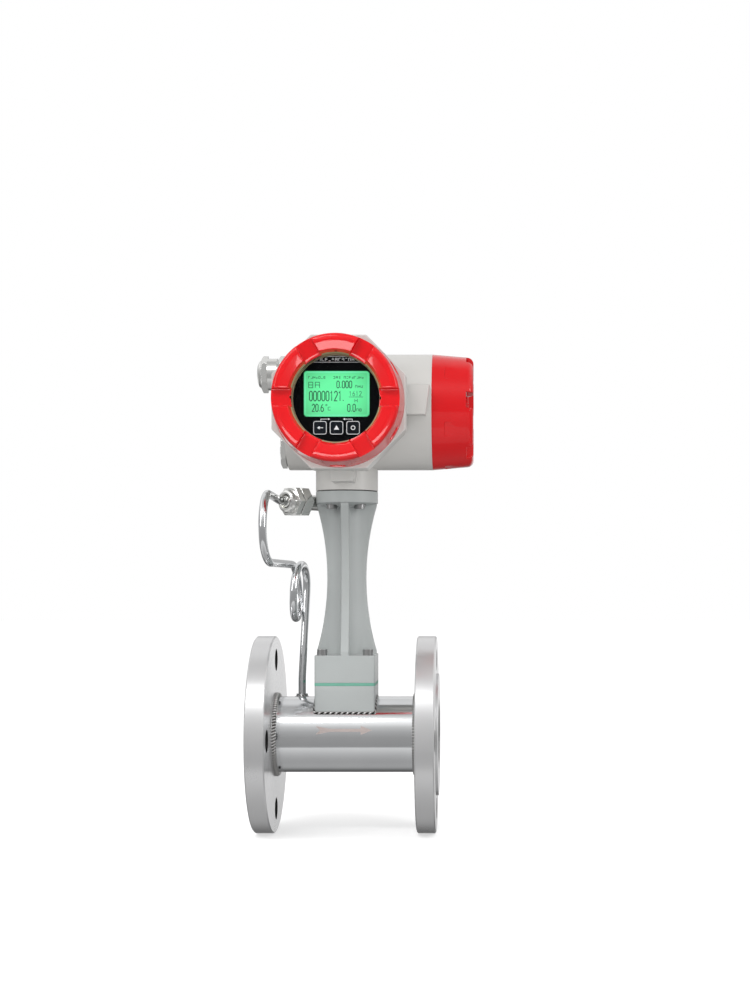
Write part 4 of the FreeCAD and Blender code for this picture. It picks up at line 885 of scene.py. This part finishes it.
def flange_weld(name, sizes, face, away):
    """The bead between a flange and the tube, away being the side of the flange that it lies on."""
    reach = sizes.radius + 0.4 * sizes.weld_half
    centre = Vector((face + away * 0.5 * sizes.weld_half, 0, 0))
    stations = []
    for side in circle(1, 0, 720):
        outward = Vector((0, side.x, side.y))
        stations.append((centre + outward * reach, outward, Vector((1, 0, 0))))
    bead(name, stations, sizes.weld_half, sizes.weld_pitch)


def foot_weld(sizes):
    """The bead that follows the foot of the base block over the tube."""
    points = [NECK + Vector((x, y, on_tube(sizes.radius + 0.3 * MM, y)))
              for x, y in block_outline(0.25 * MM, sizes.block_round, 0.35 * MM)]
    stations = []
    for index, point in enumerate(points):
        along = (points[(index + 1) % len(points)] - points[index - 1]).normalized()
        outward = Vector((0, point.y, point.z)).normalized()
        sideways = along.cross(outward).normalized()
        stations.append((point, sideways.cross(along).normalized(), sideways))
    bead("foot_weld", stations, sizes.foot_weld, sizes.foot_pitch, 10, 5)


def socket_weld(sizes):
    """The bead round the foot of the siphon's socket."""
    centre = middle("siphon_socket")
    reach = half_width("siphon_socket") + 0.2 * MM
    stations = []
    for side in circle(1, 0, 180):
        point = Vector((centre.x, centre.y, 0)) + side * reach
        point.z = on_tube(sizes.radius + 0.2 * MM, point.y)
        outward = (side + Vector((0, point.y, point.z)).normalized()).normalized()
        stations.append((point, outward, outward.cross(Vector((-side.y, side.x, 0))).normalized()))
    bead("socket_weld", stations, sizes.foot_weld, sizes.weld_pitch, 10)


# Share of the arrow's length at which its head starts
HEAD_FROM = 0.80


def arrow_edges(share):
    """Inner and outer edge of the arrow's upper half at a share of its length, in head heights."""
    shaft = 0.17
    notch_to = 0.07
    feather_to = 0.24
    inner = max(0.0, 0.42 * (1 - share / notch_to))
    if share > HEAD_FROM:
        return inner, 0.5 * (1 - share) / (1 - HEAD_FROM)
    if share < feather_to:
        return inner, shaft + 0.30 * (1 - share / feather_to)
    return inner, shaft


def flow_arrow(sizes):
    """The feathered arrow that is printed on the tube's front."""
    shape = bmesh.new()
    reach = sizes.radius + 0.04 * MM
    shares = [step / 100 for step in range(101)] + [HEAD_FROM + 0.0001]
    for sign in (1, -1):
        rows = []
        for share in sorted(shares):
            inner, outer = arrow_edges(share)
            along = (share - 0.5) * sizes.arrow_long
            row = []
            for step in range(4):
                lift = sizes.arrow_rise + sign * sizes.arrow_high * (inner + (outer - inner) * step / 3)
                turn = lift / sizes.radius
                row.append(NECK + Vector((along, -reach * math.cos(turn), reach * math.sin(turn))))
            rows.append(row)
        add_grid(shape, rows, loop=False)
    piece("flow_arrow", shape, "polished_steel", "meter", look="arrow_print")


class METER_OT_block(bpy.types.Operator):
    """Build the base block"""
    bl_idname = "meter.block"
    bl_label = "Base block"

    def execute(self, context):
        base_block(context.scene.tube_sizes)
        return {"FINISHED"}


class METER_OT_welds(bpy.types.Operator):
    """Build the weld beads"""
    bl_idname = "meter.welds"
    bl_label = "Welds"

    def execute(self, context):
        sizes = context.scene.tube_sizes
        flange_weld("inlet_weld", sizes, high("inlet_flange").x, 1)
        flange_weld("outlet_weld", sizes, low("outlet_flange").x, -1)
        foot_weld(sizes)
        socket_weld(sizes)
        return {"FINISHED"}


class METER_OT_arrow(bpy.types.Operator):
    """Print the flow arrow on the tube"""
    bl_idname = "meter.arrow"
    bl_label = "Flow arrow"

    def execute(self, context):
        flow_arrow(context.scene.tube_sizes)
        return {"FINISHED"}


# Display prints, placed from the plate's centre

# The strokes of each figure in a field 1 wide and 2 high, and whether they close
DIGITS = {
    "0": ([(0, 0.3), (0, 1.7), (0.3, 2), (0.7, 2), (1, 1.7), (1, 0.3), (0.7, 0), (0.3, 0)], True),
    "1": ([(0.15, 1.6), (0.5, 2), (0.5, 0)], False),
    "2": ([(0, 1.6), (0.3, 2), (0.7, 2), (1, 1.7), (1, 1.3), (0, 0), (1, 0)], False),
    "6": ([(0.85, 2), (0.3, 1.6), (0, 1), (0, 0.3), (0.3, 0), (0.7, 0), (1, 0.3), (1, 0.8), (0.7, 1.1),
           (0.1, 1.1)], False),
}


# Thickness of the printed colour
PRINT_THICK = 0.06 * MM


def mm(*numbers):
    """Millimetres in the scene's metres."""
    return [number * MM for number in numbers]


def ribbon(shape, points, width, rise, closed=False):
    """A flat printed line of the given width along a polyline."""
    count = len(points)
    rows = []
    for index, point in enumerate(points):
        here = complex(*point)
        before = here - complex(*points[index - 1]) if closed or index > 0 else 0
        after = complex(*points[(index + 1) % count]) - here if closed or index < count - 1 else 0
        way = (before / abs(before) if before else 0) + (after / abs(after) if after else 0)
        way = way / abs(way)
        stretch = 1.0
        if before and after:
            stretch = 1 / max(0.5, abs((way.conjugate() * before / abs(before)).real))
        side = way * 1j * width / 2 * stretch
        left, right = here + side, here - side
        rows.append([Vector((spot.real, spot.imag, rise + lift)) for spot, lift in
                     ((left, PRINT_THICK), (right, PRINT_THICK), (right, 0), (left, 0))])
    if closed:
        rows.append(rows[0])
    made = add_grid(shape, rows)
    if not closed:
        shape.faces.new(made[0])
        shape.faces.new(made[-1])


def loop_line(shape, centre, wide, tall, corner, width, rise):
    """A printed line round a rectangle with rounded corners."""
    across, up = centre
    corners = [(across + side * wide / 2, up + end * tall / 2, corner)
               for side, end in ((1, 1), (-1, 1), (-1, -1), (1, -1))]
    ribbon(shape, rounded(corners, 5, closed=True), width, rise, closed=True)


def patch(shape, points, rise, thick=PRINT_THICK):
    """A flat printed field with the given outline."""
    rows = [[Vector((*point, rise + lift)) for point in points] for lift in (0, thick)]
    made = add_grid(shape, rows)
    shape.faces.new(made[-1])


def write(shape, words, left, foot, wide, tall, gap, width, rise):
    """Digits and points in a row, from their left edge."""
    for letter in words:
        if letter == ".":
            right, top = left + width, foot + width
            patch(shape, [(left, foot), (right, foot), (right, top), (left, top)], rise)
            left += width + gap
            continue
        strokes, closed = DIGITS[letter]
        line = [(left + across * wide, foot + up * tall / 2) for across, up in strokes]
        ribbon(shape, line, width, rise, closed)
        left += wide + gap


def mark_row(shape, kinds, left, foot, step, size, width, rise):
    """Small signs without meaning, each made of the bars that its number's bits name."""
    bars = [[(0, 0), (0, 1)], [(0, 0.5), (0.9, 0.5)], [(0.9, 0), (0.9, 1)], [(0, 1), (0.9, 1)],
            [(0, 0), (0.9, 0)]]
    for index, kind in enumerate(kinds):
        start = left + index * step
        for bit, bar in enumerate(bars):
            if (kind >> bit) & 1:
                line = [(start + across * size, foot + up * size * 1.2) for across, up in bar]
                ribbon(shape, line, width, rise)


def display_signs(sizes, rise):
    """The display's figures and small marks."""
    shape = bmesh.new()
    thin = sizes.ink * 0.55
    for left, count, step in ((-22.0, 7, 2.0), (-2.6, 3, 2.2), (5.8, 8, 2.0)):
        kinds = [7 + (index * 11 + round(left)) % 24 for index in range(count)]
        mark_row(shape, kinds, *mm(left, 16.1, step, 1.35), thin, rise)
    marks = (((31, 15), -21.8, 8.9, 5.2, 3.6, thin * 1.3), ((13, 7, 21), 14.6, 9.0, 2.2, 1.5, thin),
             ((7,), 14.2, -2.4, 0, 2.2, thin), ((25,), -6.6, -8.6, 0, 2.0, thin),
             ((13, 31), 15.6, -9.4, 2.2, 1.6, thin))
    for kinds, left, foot, step, size, width in marks:
        mark_row(shape, kinds, *mm(left, foot, step, size), width, rise)
    figures = (("0.000", 0.2, 8.8, 1.9, 5.3, 0.85, sizes.ink),
               ("00000121.", -21.2, -1.3, 2.25, 7.4, 1.0, sizes.ink * 1.1),
               ("1612", 10.0, 2.6, 1.5, 3.4, 1.1, thin),
               ("20.6", -19.0, -9.6, 1.9, 5.6, 0.8, sizes.ink),
               ("0.0", 8.6, -9.6, 1.9, 5.6, 0.8, sizes.ink))
    for words, left, foot, wide, tall, gap, width in figures:
        write(shape, words, *mm(left, foot, wide, tall, gap), width, rise)
    ribbon(shape, [mm(9.6, 1.7), mm(20.6, 1.7)], thin, rise)
    loop_line(shape, mm(-8.0, -4.6), *mm(1.1, 1.1, 0.5), thin, rise)
    piece("display_signs", shape, "lit_display", "meter", place=DISPLAY, look="display_ink")


def display_border(sizes, rise):
    """The lighter border of the lit panel, with rounded corners."""
    wide, _, tall = high("lcd_panel") - low("lcd_panel")
    border, inset = mm(1.3, 1.7)
    shape = bmesh.new()
    centre = (0.1 * MM, middle("lcd_panel").z - HEAD_Z)
    loop_line(shape, centre, wide - inset, tall - inset, sizes.panel_round, border, rise)
    piece("display_border", shape, "lit_display", "meter", place=DISPLAY, look="display_rim")


def display_corners(sizes, rise):
    """Dark fillets that round the corners of the lit panel."""
    half = (high("lcd_panel") - low("lcd_panel")) / 2
    centre = middle("lcd_panel").z - HEAD_Z
    reach = sizes.panel_round
    over, thick = mm(0.2, 0.35)
    shape = bmesh.new()
    for side, end in ((1, 1), (-1, 1), (-1, -1), (1, -1)):
        points = [(side * (half.x + over), centre + end * (half.z + over))]
        for a in quarter(8):
            points.append((side * (half.x - reach + reach * math.cos(a)),
                           centre + end * (half.z - reach + reach * math.sin(a))))
        if side * end < 0:
            points.reverse()
        patch(shape, points, rise, thick)
    piece("display_corners", shape, "charcoal_plate", "meter", place=DISPLAY)


def plate_print(sizes, rise):
    """The strip over the display and the two small arrows over the keys."""
    shape = bmesh.new()
    thin = sizes.line * 0.8
    loop_line(shape, mm(0, 31.0), *mm(38.5, 4.4, 0.5), thin, rise)
    kinds = [7 + (index * 5) % 11 for index in range(13)]
    mark_row(shape, kinds, *mm(-16.6, 29.9, 2.6, 1.7), sizes.line, rise)
    for side in (-1, 1):
        start, end, tip = side * 12.3, side * 6.6, side * 5.0
        ribbon(shape, [mm(start, -17.0), mm(start, -15.6), mm(end, -15.6)], thin, rise)
        patch(shape, [mm(tip, -15.6), mm(end, -14.8), mm(end, -16.4)][::side], rise)
    piece("plate_print", shape, "charcoal_plate", "meter", place=DISPLAY, look="white_print")


def key_sign(shape, kind, across, up, rise):
    """A triangle, a small arrow or a ring on a key."""
    line = 0.6 * MM
    heads = {"up": ((-2.1, -1.5), (2.1, -1.5), (0, 1.9)), "left": ((-2.2, 0), (-0.2, -1.4), (-0.2, 1.4))}
    if kind in heads:
        patch(shape, [(across + x * MM, up + y * MM) for x, y in heads[kind]], rise)
    if kind == "left":
        ribbon(shape, [(across - 0.4 * MM, up), (across + 2.4 * MM, up)], line, rise)
    if kind == "round":
        loop_line(shape, (across, up), *mm(3.0, 3.0, 1.45), line, rise)


def key_print(node, body, kind, sizes):
    """A key's printed outline and sign, which move with the key."""
    across = middle(node).x - NECK.x
    up = middle(node).z - HEAD_Z
    rise = CHAMBER_FACE - low(node).y + 0.01 * MM
    wide = half_width(node) * 2 - 2.1 * MM
    shape = bmesh.new()
    loop_line(shape, (across, up), wide, wide, sizes.key_round, sizes.line, rise)
    key_sign(shape, kind, across, up, rise)
    piece(node + "_print", shape, "keys", body, place=DISPLAY, look="white_print")


class METER_OT_prints(bpy.types.Operator):
    """Print the display, the face plate and the keys"""
    bl_idname = "meter.prints"
    bl_label = "Prints"

    def execute(self, context):
        sizes = context.scene.print_sizes
        face = CHAMBER_FACE - low("lcd_panel").y
        plate = CHAMBER_FACE - low("face_plate").y
        display_signs(sizes, face + 0.02 * MM)
        display_border(sizes, face + 0.01 * MM)
        display_corners(sizes, face + 0.03 * MM)
        plate_print(sizes, plate + 0.01 * MM)
        for node, body, kind in (("key_left", "left_key", "left"), ("key_middle", "middle_key", "up"),
                                 ("key_right", "right_key", "round")):
            key_print(node, body, kind, sizes)
        return {"FINISHED"}


# Plain finishes of the frame's own solids

class METER_OT_finishes(bpy.types.Operator):
    """Give every solid of the frame the finish of its slot"""
    bl_idname = "meter.finishes"
    bl_label = "Finishes"

    def execute(self, context):
        slots = {row["node"]: row["material_slot"] for row in frame["record"]["subparts"]}
        for node, solid in frame["nodes"].items():
            solid.data.materials.clear()
            solid.data.materials.append(material(slots[node]))
        return {"FINISHED"}


# Stage

def soft_light(name, place, target, wide, tall, power):
    """An area light at a place counted from the neck's axis."""
    lamp = bpy.data.lights.new(name, "AREA")
    lamp.shape = "RECTANGLE"
    lamp.size = wide
    lamp.size_y = tall
    lamp.energy = power
    thing = bpy.data.objects.new(name, lamp)
    thing.location = NECK + Vector(place)
    aim = Vector(target) - thing.location
    thing.rotation_euler = aim.to_track_quat("-Z", "Y").to_euler()
    bpy.context.scene.collection.objects.link(thing)
    return thing


def light_only(lamp, name, lit):
    """Keep a reflector card's light to the objects it is set up for."""
    lamp.visible_camera = False
    lamp.light_linking.receiver_collection = bpy.data.collections.new(name)
    for thing in lit:
        lamp.light_linking.receiver_collection.objects.link(bpy.data.objects[thing])


# Brightness of the studio from straight below, at 0, to straight above, at 1
FRONT_SKY = ((0.0, 0.34), (0.206, 0.66), (0.210, 0.28), (0.455, 0.31), (0.60, 0.40), (0.717, 0.55),
             (0.80, 0.85), (0.86, 1.0), (0.90, 0.85), (0.945, 0.55), (1.0, 0.40))
BACK_SKY = ((0.0, 0.34), (0.10, 0.15), (0.28, 0.07), (0.40, 0.42), (0.49, 0.86), (0.54, 0.40), (0.64, 0.40),
            (0.72, 0.75), (0.87, 0.60), (0.93, 0.65), (0.97, 0.95), (0.985, 0.95), (1.0, 0.40))
SKY_STRENGTH = 1.3


def studio_sky():
    """A studio all round, brighter above than at its walls, and plain white for the picture itself."""
    world = bpy.data.worlds.new("studio")
    bpy.context.scene.world = world
    sky = Tree(world)
    split = sky.add("ShaderNodeSeparateXYZ", {}, {0: sky.places["Generated"]}).outputs
    rise, behind = (sky.add("ShaderNodeMapRange", {}, {"Value": split[axis], "From Min": start,
                                                       "From Max": end}).outputs[0]
                    for axis, start, end in (("Z", -1, 1), ("Y", 0.1, 0.7)))
    front, back = (sky.add("ShaderNodeValToRGB", {"stops": stops}, {0: rise}).outputs[0]
                   for stops in (FRONT_SKY, BACK_SKY))
    studio = sky.mix(behind, front, back)
    seen = sky.add("ShaderNodeLightPath", {}, {}).outputs["Is Camera Ray"]
    picture = sky.mix(seen, studio, (1 / SKY_STRENGTH,) * 3)
    light = sky.add("ShaderNodeBackground", {}, {"Color": picture, "Strength": SKY_STRENGTH})
    sky.add("ShaderNodeOutputWorld", {}, {"Surface": light.outputs[0]})


def floor_plane():
    """A pale table top under the meter, 12 m each way."""
    shape = bmesh.new()
    rise = CAD_BOX[0].z
    corners = [(-6, -4), (6, -4), (6, 8), (-6, 8)]
    shape.faces.new([shape.verts.new((NECK.x + x, y, rise)) for x, y in corners])
    data = bpy.data.meshes.new("floor")
    shape.to_mesh(data)
    shape.free()
    thing = bpy.data.objects.new("floor", data)
    bpy.context.scene.collection.objects.link(thing)
    finish = Finish("pale_floor")
    clouds = finish.noise(3, 2)
    data.materials.append(finish.surface({
        "Base Color": finish.mix(clouds, (0.78, 0.78, 0.78), (0.80, 0.80, 0.80)),
        "Roughness": 1.0,
        "Specular IOR Level": 0.0,
        "Emission Color": (1, 1, 1),
        "Emission Strength": 0.42,
    }))
    thing.visible_glossy = False
    thing.visible_diffuse = False


class METER_OT_stage(bpy.types.Operator):
    """Make the floor, the light and the camera"""
    bl_idname = "meter.stage"
    bl_label = "Stage"

    def execute(self, context):
        studio_sky()
        floor_plane()
        meter = (NECK.x, 0, 0.15)
        head = (NECK.x, 0, HEAD_Z)
        soft_light("left_light", (-1.2, -1.1, 0.9), meter, wide=0.35, tall=1.2, power=7)
        soft_light("right_light", (1.5, -0.7, 0.8), meter, wide=0.3, tall=1.1, power=7)
        soft_light("top_light", (-0.42, -1.1, 1.3), meter, wide=0.6, tall=0.32, power=5)
        fill = soft_light("low_light", (0.3, -1.3, 0.0), meter, wide=1.0, tall=0.3, power=4)
        fill.visible_glossy = False
        card = soft_light("front_card", (-0.1, -1.1, 0.04), head, wide=1.05, tall=0.22, power=6.5)
        card.visible_diffuse = False
        light_only(card, "cover", ("display_cover_ring_form",))
        table = soft_light("table_card", (0, -0.45, -0.06), head, wide=1.6, tall=0.7, power=1.3)
        light_only(table, "head", ("display_cover_ring_form", "side_cover_form", "housing"))
        sizes = context.scene.camera_sizes
        lens = bpy.data.cameras.new("camera")
        lens.lens = sizes.lens
        lens.sensor_width = 36
        lens.shift_x = sizes.shift_x
        lens.shift_y = sizes.shift_y
        camera = bpy.data.objects.new("camera", lens)
        camera.location = (NECK.x + sizes.right, -sizes.away, sizes.rise)
        camera.rotation_euler = (math.radians(90), 0, 0)
        context.scene.collection.objects.link(camera)
        context.scene.camera = camera
        context.scene.view_settings.view_transform = "Standard"
        return {"FINISHED"}


class METER_PT_panel(bpy.types.Panel):
    """The steps that dress the flow meter, in their order"""
    bl_idname = "METER_PT_panel"
    bl_label = "Flow meter"
    bl_space_type = "VIEW_3D"
    bl_region_type = "UI"
    bl_category = "Flow meter"

    def draw(self, context):
        for step in STEPS:
            self.layout.operator(step.bl_idname)


STEPS = (METER_OT_finishes, METER_OT_covers, METER_OT_block, METER_OT_welds, METER_OT_arrow,
         METER_OT_prints, METER_OT_stage)
GROUPS = {"grip_sizes": GripSizes, "display_cover_sizes": DisplayCoverSizes,
          "side_cover_sizes": SideCoverSizes, "tube_sizes": TubeSizes, "print_sizes": PrintSizes,
          "paint_colours": PaintColours, "camera_sizes": CameraSizes}
CLASSES = (*GROUPS.values(), *STEPS, METER_PT_panel)


def register():
    for kind in CLASSES:
        bpy.utils.register_class(kind)
    for name, group in GROUPS.items():
        setattr(bpy.types.Scene, name, PointerProperty(type=group))


def unregister():
    for name in GROUPS:
        delattr(bpy.types.Scene, name)
    for kind in reversed(CLASSES):
        bpy.utils.unregister_class(kind)


def main():
    register()
    for step in STEPS:
        family, name = step.bl_idname.split(".")
        getattr(getattr(bpy.ops, family), name)()


if __name__ == "__main__":
    main()
